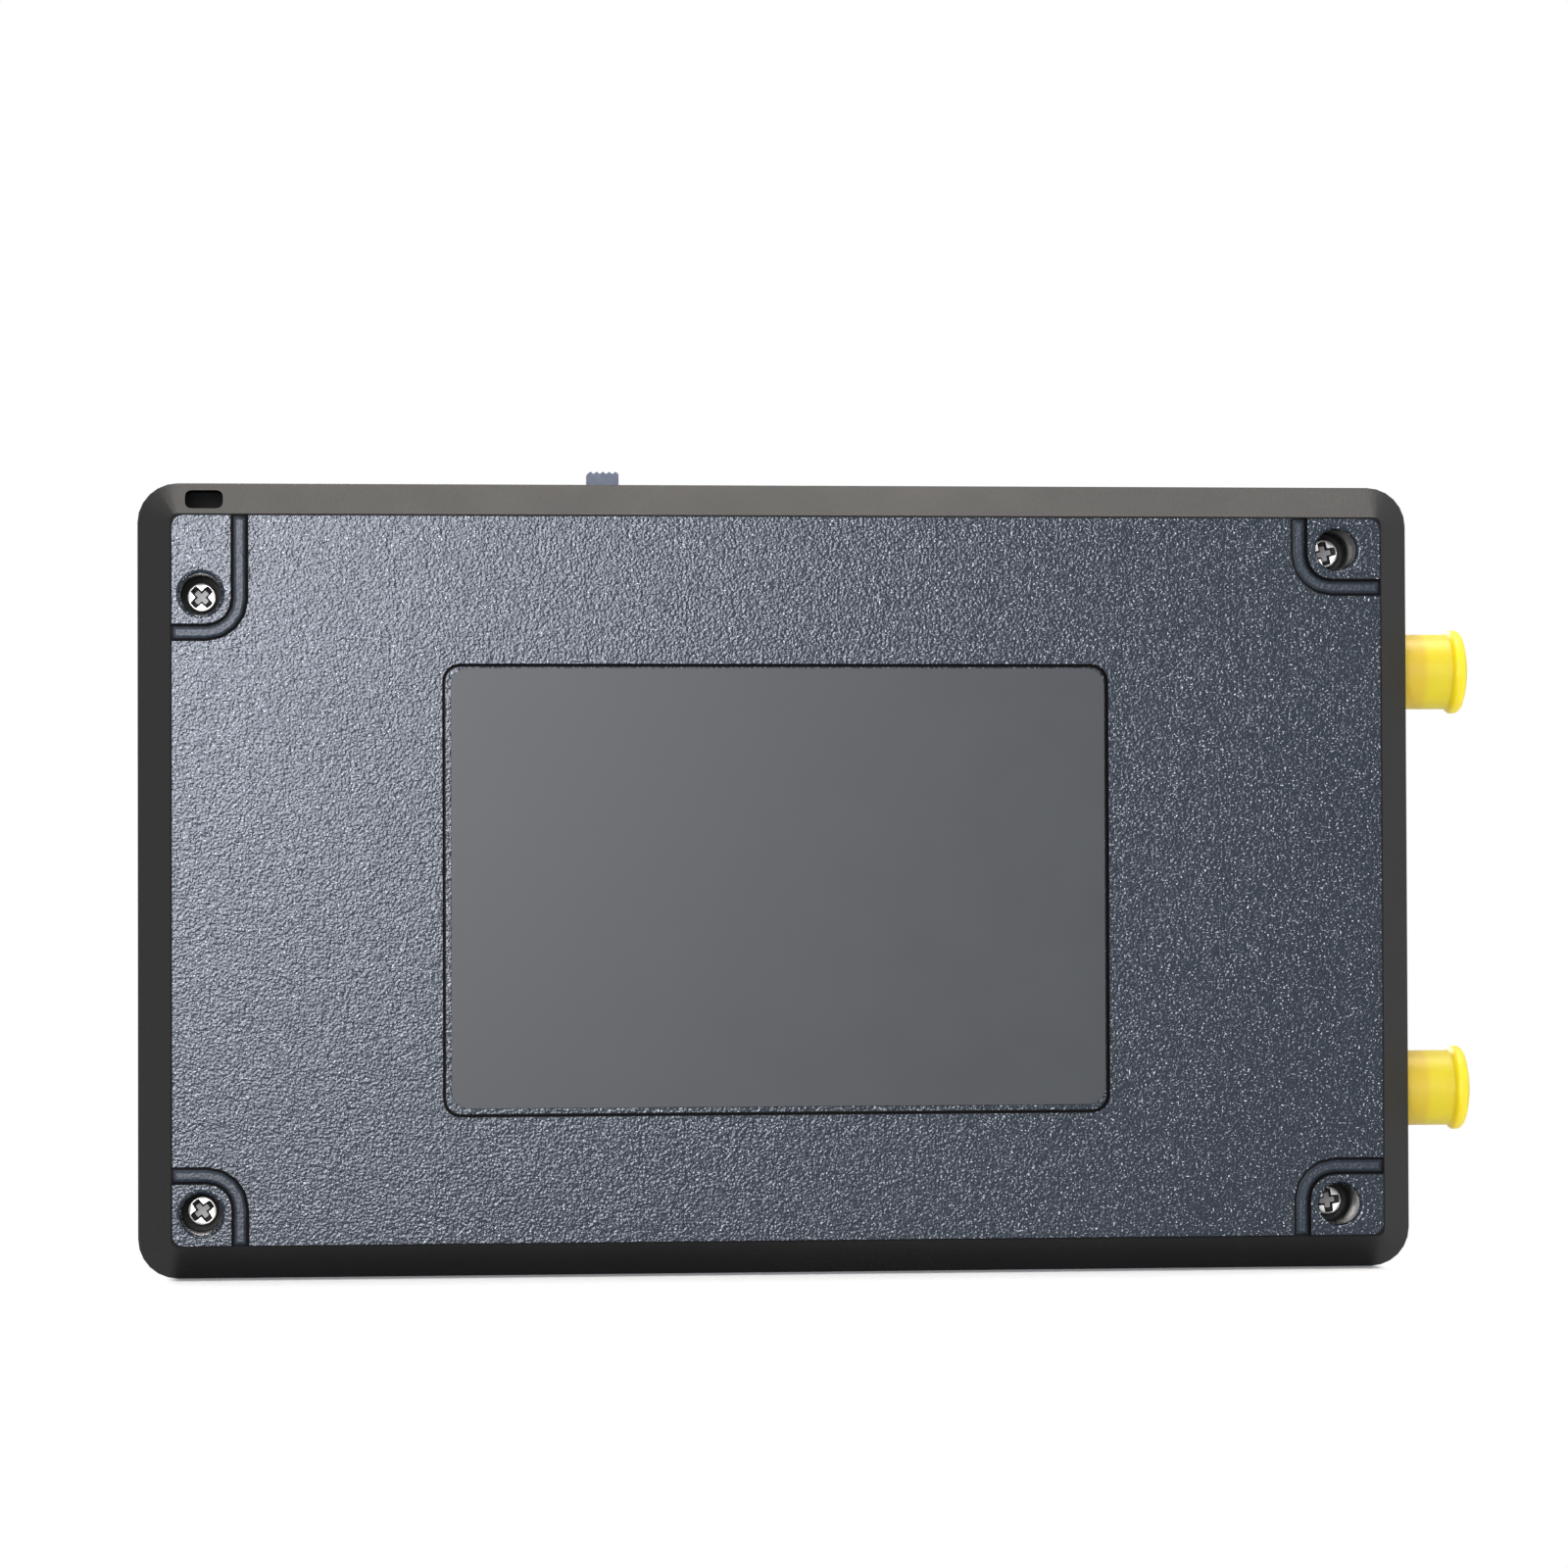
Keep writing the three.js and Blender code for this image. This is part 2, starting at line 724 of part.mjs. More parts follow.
// A thin satin plate, lying in its recess and bare of words
function ratingLabel() {
  const shape = roundedRect(label.width, label.height, label.cornerRadius, label.shiftX, label.shiftZ);
  return plate(shape, pinClearance, pinClearance + label.thickness);
}

// The screen stack, from the soft frame behind the window back to the foam on the board
function screenShape(inset) {
  return roundedRect(
    screenWidth - 2 * inset,
    screenHeight - 2 * inset,
    screen.cornerRadius,
    screenMiddle,
  );
}

function screenGasket() {
  const ring = plate(screenShape(touch.inset), gasketBack, gasketBack + gasket.thickness);
  const hole = roundedRect(
    windowWidth + 2 * gasket.lap,
    windowHeight + 2 * gasket.lap,
    screenWindow.cornerRadius,
    windowMiddle,
  );
  return ring.subtract(plate(hole, gasketBack - overrun, frontInner + overrun));
}

function touchPanel() {
  return plate(screenShape(touch.inset), touchBack, touchBack + touch.thickness);
}

function screenPanel() {
  return plate(screenShape(0), screenBack, screenBack + screen.thickness);
}

function screenFoam() {
  const shape = roundedRect(
    screenWidth * foam.wideShare,
    screenHeight * foam.highShare,
    screen.cornerRadius,
    windowMiddle,
  );
  return plate(shape, foamBack, foamBack + foam.thickness);
}

// The ribbon leaves the screen's left edge, turns back on itself and ends in its socket
function displayRibbon() {
  const half = ribbon.thickness / 2;
  const start = screenLeft - clearance;
  const turn = start - ribbon.reach + ribbon.bendRadius;
  const low = foamBack + ribbonSocket.depth / 2;
  const middle = [turn, low + ribbon.bendRadius];
  const outer = arcPoints(middle, ribbon.bendRadius + half, Math.PI / 2, Math.PI * 1.5, 2 * cornerSteps);
  const inner = arcPoints(middle, ribbon.bendRadius - half, Math.PI * 1.5, Math.PI / 2, 2 * cornerSteps);
  const high = low + 2 * ribbon.bendRadius;
  const end = start + ribbon.tail;
  const side = polygon([
    [start, high + half],
    ...outer,
    [end, low - half],
    [end, low + half],
    ...inner,
    [start, high - half],
  ]);
  return column(side, -ribbon.width / 2, ribbon.width / 2);
}

function ribbonConnector() {
  const start = screenLeft - clearance + ribbon.tail + clearance;
  return block(
    [start, start + ribbonSocket.length],
    [foamBack, foamBack + ribbonSocket.depth],
    span(0, ribbonSocket.width),
  );
}

// The board, clamped between the wells of the back shell and the bosses of the front
function mainBoard() {
  const shape = roundedRect(boardSize.width, boardSize.height, board.cornerRadius, boardMiddle);
  const through = [boardBack - overrun, boardFront + overrun];
  const coverHole = coverScrew.shankDiameter + 2 * board.holeMargin;
  const boardHole = boardScrew.shankDiameter + 2 * clearance;
  const pinSlots = portLevels.map((level) => block(
    [boardEdges.right - port.contactTail, boardEdges.right + overrun],
    through,
    span(level, port.contactDiameter + 2 * clearance),
  ));
  return cut(plate(shape, boardBack, boardFront), [
    ...screwPlaces.map((place) => rod(coverHole, place, ...through, screwSides)),
    ...boardScrewPlaces.map((place) => rod(boardHole, place, ...through, screwSides)),
    ...pinSlots,
  ]);
}

// A threaded coaxial jack whose legs straddle the edge of the board
function portJack(level) {
  const threadRadius = port.threadDiameter / 2;
  const neckEnd = flangeFront + port.neckLength;
  const barrel = turnedAcross([
    [0, flangeBack],
    [port.neckDiameter / 2, flangeBack],
    [port.neckDiameter / 2, neckEnd],
    [threadRadius, neckEnd],
    [threadRadius, barrelEnd - port.threadEndChamfer],
    [threadRadius - port.threadEndChamfer, barrelEnd],
    [0, barrelEnd],
  ], level, roundSides);
  const flangeWide = span(level, port.flangeSize);
  const flange = block([flangeBack, flangeFront], span(parting, port.flangeSize), flangeWide);
  const legReach = [flangeBack - port.legLength, flangeBack + port.flangeThickness / 2];
  const legOffset = (port.flangeSize - port.legWidth) / 2;
  const legs = [-1, 1].flatMap((side) => {
    const legWide = span(level + side * legOffset, port.legWidth);
    return [
      block(legReach, [partsFace - port.legThickness, partsFace], legWide),
      block(legReach, [foamBack, foamBack + port.legThickness], legWide),
    ];
  });
  const bore = port.boreDiameter + 2 * pinClearance;
  return cut(join([barrel, flange, ...legs]), [
    rodAcross(bore, flangeBack - overrun, barrelEnd + overrun, level, roundSides),
    rodAcross(port.mouthDiameter, barrelEnd - port.mouthDepth, barrelEnd + overrun, level, roundSides),
  ]);
}

function portInsulator(level) {
  const outer = port.boreDiameter / 2;
  const inner = port.contactDiameter / 2 + pinClearance;
  return turnedAcross([
    [inner, flangeBack],
    [outer, flangeBack],
    [outer, barrelEnd - port.mouthDepth],
    [inner, barrelEnd - port.mouthDepth],
    [inner, flangeBack],
  ], level, screwSides);
}

function portContact(level) {
  const radius = port.contactDiameter / 2;
  const bore = port.contactBore / 2;
  const front = barrelEnd - port.mouthDepth;
  const back = boardEdges.right - port.contactTail + clearance;
  return turnedAcross([
    [0, back],
    [radius, back],
    [radius, front],
    [bore, front],
    [bore, front - port.contactBoreDepth],
    [0, front - port.contactBoreDepth],
  ], level, screwSides);
}

// A soft push-on cap: thin body, thicker grip rim and a slightly domed end
function dustCap(level) {
  const open = halfWidth + cap.wallGap;
  const end = barrelEnd + cap.endGap + cap.endWall;
  const rimStart = end - cap.rimLength;
  const bore = port.threadDiameter / 2 + cap.boreClearance;
  const body = bore + cap.wall;
  const rim = body + cap.rimStep;
  const roundMiddle = [rim - cap.rimRound, end - cap.dome - cap.rimRound];
  const rimCorner = arcPoints(roundMiddle, cap.rimRound, 0, Math.PI / 2, cornerSteps / 2);
  return turnedAcross([
    [0, end - cap.endWall],
    [bore, end - cap.endWall],
    [bore, open],
    [body, open],
    [body, rimStart],
    [rim - cap.rimRound / 2, rimStart],
    [rim, rimStart + cap.rimRound / 2],
    ...rimCorner,
    [rim / 2, end - cap.dome / 4],
    [0, end],
  ], level, roundSides);
}

// The power switch: a small body on the board and a ribbed knob through the wall
function powerSwitchBody() {
  const depth = [partsFace - powerSwitch.depth, partsFace];
  const middle = partsFace - powerSwitch.depth / 2;
  const pocket = block(
    [
      switchPlace - powerSwitch.stemWidth / 2 - clearance,
      switchPlace + powerSwitch.stemWidth / 2 + powerSwitch.travel + clearance,
    ],
    span(middle, powerSwitch.stemDepth + 2 * clearance),
    [controlTop - powerSwitch.stemLength - clearance, controlTop + overrun],
  );
  const bodyMiddle = switchPlace + powerSwitch.travel / 2;
  const height = [controlTop - powerSwitch.height, controlTop];
  return block(span(bodyMiddle, powerSwitch.width), depth, height).subtract(pocket);
}

function powerSwitchKnob() {
  const middle = partsFace - powerSwitch.depth / 2;
  const left = switchPlace - powerSwitch.knobWidth / 2;
  const pitch = powerSwitch.knobWidth / powerSwitch.teeth;
  const bottom = controlTop + clearance;
  const top = halfHeight + powerSwitch.knobRise;
  const profile = [[left, bottom], [left + powerSwitch.knobWidth, bottom]];
  for (let i = powerSwitch.teeth; i > 0; i -= 1) {
    profile.push([left + i * pitch, top - powerSwitch.toothHeight]);
    profile.push([left + i * pitch - pitch / 2, top]);
  }
  profile.push([left, top - powerSwitch.toothHeight]);
  const knob = plate(polygon(profile), ...span(middle, powerSwitch.knobDepth));
  const stem = block(
    span(switchPlace, powerSwitch.stemWidth),
    span(middle, powerSwitch.stemDepth),
    [controlTop - powerSwitch.stemLength, bottom + clearance],
  );
  return knob.add(stem);
}

// The jog switch: a pocketed body, a carriage that pushes in and a lever that rocks on it
const jogPivot = { x: jogPlace, z: controlTop - jog.pivotDrop };
const jogPocketBack = partsFace - jog.depth + jog.wall;
const jogBottom = jogPivot.z - jog.yokeRadius - jog.pushRoom - jog.floor;

function jogBody() {
  const outer = block(span(jogPlace, jog.width), [partsFace - jog.depth, partsFace], [
    jogBottom,
    controlTop,
  ]);
  return outer.subtract(block(
    span(jogPlace, jog.width - 2 * jog.sideWall),
    [jogPocketBack, partsFace - jog.wall],
    [jogBottom + jog.floor, controlTop + overrun],
  ));
}

function jogCarriage() {
  const plateBack = jogPocketBack + pinClearance;
  const plateFront = plateBack + jog.yokeThickness;
  return join([
    rod(2 * jog.yokeRadius, jogPivot, plateBack, plateFront, screwSides),
    rod(jog.pinDiameter, jogPivot, plateBack, partsFace - jog.wall - pinClearance, screwSides),
  ]);
}

function jogLever() {
  const hubBack = jogPocketBack + pinClearance + jog.yokeThickness + pinClearance;
  const hubFront = hubBack + jog.hubThickness;
  const tipTop = halfHeight - jog.tipSink;
  const tipBottom = tipTop - jog.tipHeight;
  const middle = partsFace - jog.depth / 2;
  const left = jogPlace - jog.tipWidth / 2;
  const pitch = jog.tipWidth / jog.ridges;
  const profile = [[left, tipBottom], [left + jog.tipWidth, tipBottom]];
  for (let i = jog.ridges; i > 0; i -= 1) {
    profile.push([left + i * pitch, tipTop - jog.ridgeDepth]);
    profile.push([left + i * pitch - pitch / 2, tipTop]);
  }
  profile.push([left, tipTop - jog.ridgeDepth]);
  const lever = join([
    rod(2 * jog.hubRadius, jogPivot, hubBack, hubFront, screwSides),
    block(span(jogPlace, jog.armWidth), [hubBack, hubFront], [jogPivot.z, tipBottom + jog.tipHeight / 2]),
    plate(polygon(profile), ...span(middle, jog.tipDepth)),
  ]);
  const hole = jog.pinDiameter + 2 * pinClearance;
  return lever.subtract(rod(hole, jogPivot, hubBack - overrun, hubFront + overrun, screwSides));
}

// The charging socket: a rounded steel tube with a contact tongue inside
function usbShell() {
  const middle = partsFace - usb.depth / 2;
  const top = halfHeight - usb.sink;
  const outer = roundedRect(usb.width, usb.depth, usbRadius, usbPlace, middle);
  const inner = roundedRect(
    usb.width - 2 * usb.shell,
    usb.depth - 2 * usb.shell,
    usbRadius - usb.shell,
    usbPlace,
    middle,
  );
  return column(outer, top - usb.length, top).subtract(
    column(inner, top - usb.length + usb.rearWall, top + overrun),
  );
}

function usbTongue() {
  const middle = partsFace - usb.depth / 2;
  const bottom = halfHeight - usb.sink - usb.length + usb.rearWall + clearance;
  const base = roundedRect(
    usb.width - 2 * usb.shell - 2 * clearance,
    usb.depth - 2 * usb.shell - 2 * clearance,
    usbRadius - usb.shell - clearance,
    usbPlace,
    middle,
  );
  return join([
    column(base, bottom, bottom + usb.baseLength),
    block(
      span(usbPlace, usb.tongueWidth),
      span(middle, usb.tongueDepth),
      [bottom, bottom + usb.tongueLength],
    ),
  ]);
}

// The memory card socket, a flat steel sleeve open at the top edge
function cardSleeve() {
  const bottom = controlTop - cardSocket.length;
  const outer = block(
    span(cardPlace, cardSocket.width),
    [partsFace - cardSocket.depth, partsFace],
    [bottom, controlTop],
  );
  return outer.subtract(block(
    span(cardPlace, cardSocket.slotWidth),
    [partsFace - cardSocket.depth + cardSocket.shell, partsFace - cardSocket.shell],
    [bottom + cardSocket.rearWall, controlTop + overrun],
  ));
}

// The pouch battery, stuck to the back cover with its leads at the left
function batteryPouch() {
  const shape = roundedRect(batteryWidth, batteryHeight, battery.cornerRadius, batteryMiddle);
  const pouch = edgedPlate(
    shape,
    batteryBack,
    batteryBack + battery.thickness,
    battery.edgeRound,
    battery.edgeRound,
    2,
  );
  const terrace = block(
    [batteryEnds[0] - battery.terrace, batteryEnds[0] + battery.edgeRound],
    span(batteryBack + battery.thickness / 2, battery.terraceThickness),
    span(0, batteryHeight - 2 * battery.cornerRadius),
  );
  return pouch.add(terrace);
}

function batteryAdhesive() {
  const width = batteryWidth - 2 * batteryPad.inset;
  const height = batteryHeight - 2 * batteryPad.inset;
  const shape = roundedRect(width, height, battery.cornerRadius, batteryMiddle);
  return plate(shape, padBack, padBack + batteryPad.thickness);
}

const headerPlace = {
  x: boardEdges.left + header.sideRoom,
  z: boardSize.height * header.levelShare,
};
const plugBottom = headerPlace.z + header.height / 2 - plug.insert;

function batteryHeader() {
  const top = headerPlace.z + header.height / 2;
  const outer = block(span(headerPlace.x, header.width), [partsFace - header.depth, partsFace], [
    headerPlace.z - header.height / 2,
    top,
  ]);
  return outer.subtract(block(
    span(headerPlace.x, plug.width + 2 * clearance),
    span(partsFace - header.depth / 2, plug.depth - plug.step + 2 * pinClearance),
    [plugBottom - clearance, top + overrun],
  ));
}

function batteryPlug() {
  const middle = partsFace - header.depth / 2;
  const top = headerPlace.z + header.height / 2;
  const wide = span(headerPlace.x, plug.width);
  const thin = span(middle, plug.depth - plug.step);
  return join([
    block(wide, thin, [plugBottom, top + 2 * clearance]),
    block(wide, span(middle, plug.depth), [top + clearance, plugBottom + plug.length]),
  ]);
}

// A lead runs from the end of the battery round to the top of its plug
function batteryLead(side) {
  const offset = side * lead.pitch / 2;
  const depth = batteryBack + battery.thickness / 2;
  const endDepth = partsFace - header.depth / 2;
  const start = batteryEnds[0] - battery.terrace - clearance;
  const level = batteryHeight * batteryRib.lengthShare / 2 + lead.ribGap;
  const plugTop = plugBottom + plug.length + clearance;
  const end = headerPlace.x + offset;
  const reach = start - end;
  const route = new THREE.CatmullRomCurve3([
    new THREE.Vector3(start, depth, level - offset),
    new THREE.Vector3(start - reach / 2, depth, level - offset),
    new THREE.Vector3(end, (depth + endDepth) / 2, (level + plugTop) / 2 - offset),
    new THREE.Vector3(end, endDepth, plugTop + lead.bulge),
    new THREE.Vector3(end, endDepth, plugTop),
  ]);
  const section = new THREE.Shape();
  section.absarc(0, 0, lead.diameter / 2, 0, 2 * Math.PI);
  return toSolid(new THREE.ExtrudeGeometry(section, {
    steps: 3 * wireSides,
    bevelEnabled: false,
    curveSegments: wireSides / 2,
    extrudePath: route,
  }));
}

// A thin steel can over the radio parts of one port
const shieldMiddle = screwPlaces[1].x - wellRadius - shield.wellGap - shield.width / 2;

function radioShield(level) {
  const outer = roundedRect(shield.width, shield.height, shield.cornerRadius, shieldMiddle, level);
  const inner = roundedRect(
    shield.width - 2 * shield.wall,
    shield.height - 2 * shield.wall,
    shield.cornerRadius - shield.wall,
    shieldMiddle,
    level,
  );
  const can = plate(outer, partsFace - shield.depth, partsFace);
  return can.subtract(plate(inner, partsFace - shield.depth + shield.wall, partsFace + overrun));
}

// A chip package, with gull-wing legs along two or four sides where it has any
function chipPackage(size, middleX, middleZ) {
  const shape = rect(span(middleX, size.width), span(middleZ, size.height));
  const body = edgedPlate(shape, partsFace - size.depth, partsFace, chipEdge, chipEdge, 1);
  const legs = [];
  const depth = [partsFace - chipEdge - leg.thickness, partsFace - chipEdge];
  for (let i = 0; i < size.legs; i += 1) {
    const step = (2 * i + 1 - size.legs) / (2 * size.legs);
    const alongZ = middleZ + step * size.height;
    const alongX = middleX + step * size.width;
    const legHigh = span(alongZ, (size.height / size.legs) * leg.widthShare);
    const legWide = span(alongX, (size.width / size.legs) * leg.widthShare);
    for (const side of [-1, 1]) {
      const edgeX = middleX + side * size.width / 2;
      const edgeZ = middleZ + side * size.height / 2;
      const reachX = [edgeX - side * leg.root, edgeX + side * leg.reach].sort((a, b) => a - b);
      const reachZ = [edgeZ - side * leg.root, edgeZ + side * leg.reach].sort((a, b) => a - b);
      legs.push(block(reachX, depth, legHigh));
      if (size.square) legs.push(block(legWide, depth, reachZ));
    }
  }
  return join([body, ...legs]);
}

// Materials, one function each
function material(color, roughness, metalness) {
  return new THREE.MeshStandardMaterial({ color, roughness, metalness, flatShading: true });
}

const finishes = {
  housing: () => material(0x2c3038, 0.55, 0),
  bezel: () => material(0x26292f, 0.5, 0),
  label: () => material(0x9c9ca4, 0.4, 0.3),
  screwSteel: () => material(0xc9c9c6, 0.3, 1),
  glass: () => material(0x0b0d12, 0.1, 0),
  screenFrame: () => material(0x8f9296, 0.35, 0.9),
  foam: () => material(0x1c1c1c, 0.95, 0),
  board: () => material(0x14331f, 0.5, 0),
  brass: () => material(0xc9a545, 0.3, 1),
  insulator: () => material(0xf0f0ec, 0.5, 0),
  cap: () => material(0xe4c744, 0.45, 0),
  knob: () => material(0x6d7788, 0.5, 0),
  blackPlastic: () => material(0x17181a, 0.6, 0),
  steel: () => material(0xb4b7ba, 0.35, 1),
  pouch: () => material(0xb9bcc0, 0.4, 0.6),
  ribbon: () => material(0xa8692b, 0.45, 0),
  cream: () => material(0xe9e4d4, 0.55, 0),
  redWire: () => material(0xb0201c, 0.5, 0),
  blackWire: () => material(0x151515, 0.5, 0),
  chip: () => material(0x1d1e20, 0.6, 0),
};

const analyzer = new THREE.Group();
analyzer.name = 'vector_network_analyzer';

function addPiece(name, solid, finish) {
  const mesh = new THREE.Mesh(toGeometry(solid), finish());
  mesh.name = name;
  analyzer.add(mesh);
}

addPiece('back_cover', backCover(), finishes.housing);
addPiece('front_bezel', frontBezel(), finishes.bezel);
addPiece('rating_label', ratingLabel(), finishes.label);
screwPlaces.forEach((place, i) => {
  addPiece(`cover_screw_${i + 1}`, screwSolid(coverScrew, place, headBack), finishes.screwSteel);
});

addPiece('screen_gasket', screenGasket(), finishes.foam);
addPiece('touch_panel', touchPanel(), finishes.glass);
addPiece('screen_panel', screenPanel(), finishes.screenFrame);
addPiece('screen_foam', screenFoam(), finishes.foam);
addPiece('display_ribbon', displayRibbon(), finishes.ribbon);
addPiece('ribbon_socket', ribbonConnector(), finishes.cream);

addPiece('main_board', mainBoard(), finishes.board);
boardScrewPlaces.forEach((place, i) => {
  const onBoard = partsFace - boardScrew.headHeight;
  addPiece(`board_screw_${i + 1}`, screwSolid(boardScrew, place, onBoard), finishes.screwSteel);
});

portLevels.forEach((level, i) => {
  addPiece(`port_jack_${i + 1}`, portJack(level), finishes.brass);
  addPiece(`port_insulator_${i + 1}`, portInsulator(level), finishes.insulator);
  addPiece(`port_contact_${i + 1}`, portContact(level), finishes.brass);
  addPiece(`dust_cap_${i + 1}`, dustCap(level), finishes.cap);
  addPiece(`radio_shield_${i + 1}`, radioShield(level), finishes.steel);
});

addPiece('power_switch_body', powerSwitchBody(), finishes.steel);
addPiece('power_switch_knob', powerSwitchKnob(), finishes.knob);
addPiece('jog_body', jogBody(), finishes.blackPlastic);
addPiece('jog_carriage', jogCarriage(), finishes.steel);
addPiece('jog_lever', jogLever(), finishes.blackPlastic);
addPiece('usb_shell', usbShell(), finishes.steel);
addPiece('usb_tongue', usbTongue(), finishes.blackPlastic);
addPiece('card_socket', cardSleeve(), finishes.steel);

addPiece('battery', batteryPouch(), finishes.pouch);
addPiece('battery_pad', batteryAdhesive(), finishes.foam);
addPiece('battery_header', batteryHeader(), finishes.cream);
addPiece('battery_plug', batteryPlug(), finishes.cream);
addPiece('battery_lead_red', batteryLead(-1), finishes.redWire);
addPiece('battery_lead_black', batteryLead(1), finishes.blackWire);

function addChip(name, chip) {
  const x = boardMiddle + boardSize.width * chip.xShare;
  const z = boardSize.height * chip.zShare;
  addPiece(name, chipPackage(chip, x, z), finishes.chip);
}

addChip('mcu_chip', mcuChip);
addChip('memory_chip', memoryChip);
addChip('codec_chip', codecChip);
addChip('clock_chip', clockChip);
addChip('crystal_can', crystalCan);
addChip('charger_chip', chargerChip);
addChip('power_inductor', powerInductor);
const mixerPlaces = [
  [shieldMiddle, portLevels[0]],
  [shieldMiddle - mixer.spread, portLevels[1]],
  [shieldMiddle + mixer.spread, portLevels[1]],
];
mixerPlaces.forEach(([x, z], i) => {
  addPiece(`mixer_chip_${i + 1}`, chipPackage(mixer, x, z), finishes.chip);
});

// The origin is on the resting face, below the middle of the housing
analyzer.position.set(0, -thickness / 2, halfHeight);

export default analyzer;
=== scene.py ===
import json
import math

import bmesh
import bpy
from mathutils import Matrix, Vector

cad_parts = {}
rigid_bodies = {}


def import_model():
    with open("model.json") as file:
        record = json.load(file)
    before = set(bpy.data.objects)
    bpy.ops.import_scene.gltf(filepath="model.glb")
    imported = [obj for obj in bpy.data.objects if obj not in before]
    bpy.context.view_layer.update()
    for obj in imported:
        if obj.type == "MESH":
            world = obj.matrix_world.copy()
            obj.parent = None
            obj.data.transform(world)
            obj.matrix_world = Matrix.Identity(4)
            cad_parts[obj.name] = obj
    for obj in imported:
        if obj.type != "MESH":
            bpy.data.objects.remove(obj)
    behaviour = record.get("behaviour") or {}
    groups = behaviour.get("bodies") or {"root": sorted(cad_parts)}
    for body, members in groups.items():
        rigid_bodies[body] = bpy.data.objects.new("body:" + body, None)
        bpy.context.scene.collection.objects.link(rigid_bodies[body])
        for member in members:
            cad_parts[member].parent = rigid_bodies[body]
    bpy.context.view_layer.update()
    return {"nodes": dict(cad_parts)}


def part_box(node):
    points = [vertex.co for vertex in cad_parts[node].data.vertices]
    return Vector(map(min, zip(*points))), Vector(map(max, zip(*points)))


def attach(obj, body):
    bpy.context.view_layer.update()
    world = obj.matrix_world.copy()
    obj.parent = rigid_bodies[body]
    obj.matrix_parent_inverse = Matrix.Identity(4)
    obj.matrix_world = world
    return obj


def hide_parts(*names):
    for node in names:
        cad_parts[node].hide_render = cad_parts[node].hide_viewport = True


for leftover in list(bpy.data.objects):
    bpy.data.objects.remove(leftover)

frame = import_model()
print("frame loaded with", len(frame["nodes"]), "nodes")

mm = 0.001
scene = bpy.context.scene
housingLow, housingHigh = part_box("back_cover")
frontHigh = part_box("front_bezel")[1]
backFace = housingLow.y                       # the raised panel's own plane

# The camera stands where the photographer stood, a little left and just below the middle
camera = {
    "place": (-0.0509, -0.5324, 0.03925),
    "heading": 5.57,                          # degrees
    "tilt": 1.133,
    "roll": -0.20,
    "lens": 119.11,
    "sensor": 36.0,
    "clipStart": 0.01,
}

heading, tilt, roll = (math.radians(camera[key]) for key in ("heading", "tilt", "roll"))
ahead = Vector((math.sin(heading) * math.cos(tilt), math.cos(heading) * math.cos(tilt), math.sin(tilt)))
levelRight = Vector((math.cos(heading), -math.sin(heading), 0))
levelUp = levelRight.cross(ahead)
right = levelRight * math.cos(roll) + levelUp * math.sin(roll)
up = levelUp * math.cos(roll) - levelRight * math.sin(roll)
facing = Matrix((right, up, -ahead)).transposed().to_4x4()

cameraData = bpy.data.cameras.new("photoCamera")
cameraData.lens = camera["lens"]
cameraData.sensor_width = camera["sensor"]
cameraData.clip_start = camera["clipStart"]
photoCamera = bpy.data.objects.new("photoCamera", cameraData)
photoCamera.matrix_world = Matrix.Translation(camera["place"]) @ facing
scene.collection.objects.link(photoCamera)
scene.camera = photoCamera
scene.view_settings.view_transform = "Standard"


# Feeds a shader socket from a wire, or gives it a value of its own
def connect(tree, value, socket):
    if isinstance(value, Wire):
        tree.links.new(value.socket, socket)
    else:
        socket.default_value = value


# A shader socket that can be added, multiplied and compared like a number
class Wire:
    def __init__(self, tree, socket):
        self.tree = tree
        self.socket = socket

    def maths(self, operation, first, second=0):
        node = self.tree.nodes.new("ShaderNodeMath")
        node.operation = operation
        for socket, value in zip(node.inputs, (first, second)):
            connect(self.tree, value, socket)
        return Wire(self.tree, node.outputs[0])

    def __add__(self, other):
        return self.maths("ADD", self, other)

    def __radd__(self, other):
        return self.maths("ADD", other, self)

    def __sub__(self, other):
        return self.maths("SUBTRACT", self, other)

    def __rsub__(self, other):
        return self.maths("SUBTRACT", other, self)

    def __mul__(self, other):
        return self.maths("MULTIPLY", self, other)

    def __rmul__(self, other):
        return self.maths("MULTIPLY", other, self)

    def __lt__(self, other):
        return self.maths("LESS_THAN", self, other)

    def __gt__(self, other):
        return self.maths("GREATER_THAN", self, other)

    def __abs__(self):
        return self.maths("ABSOLUTE", self)

    def atLeast(self, other):
        return self.maths("MAXIMUM", self, other)

    def root(self):
        return self.maths("SQRT", self)


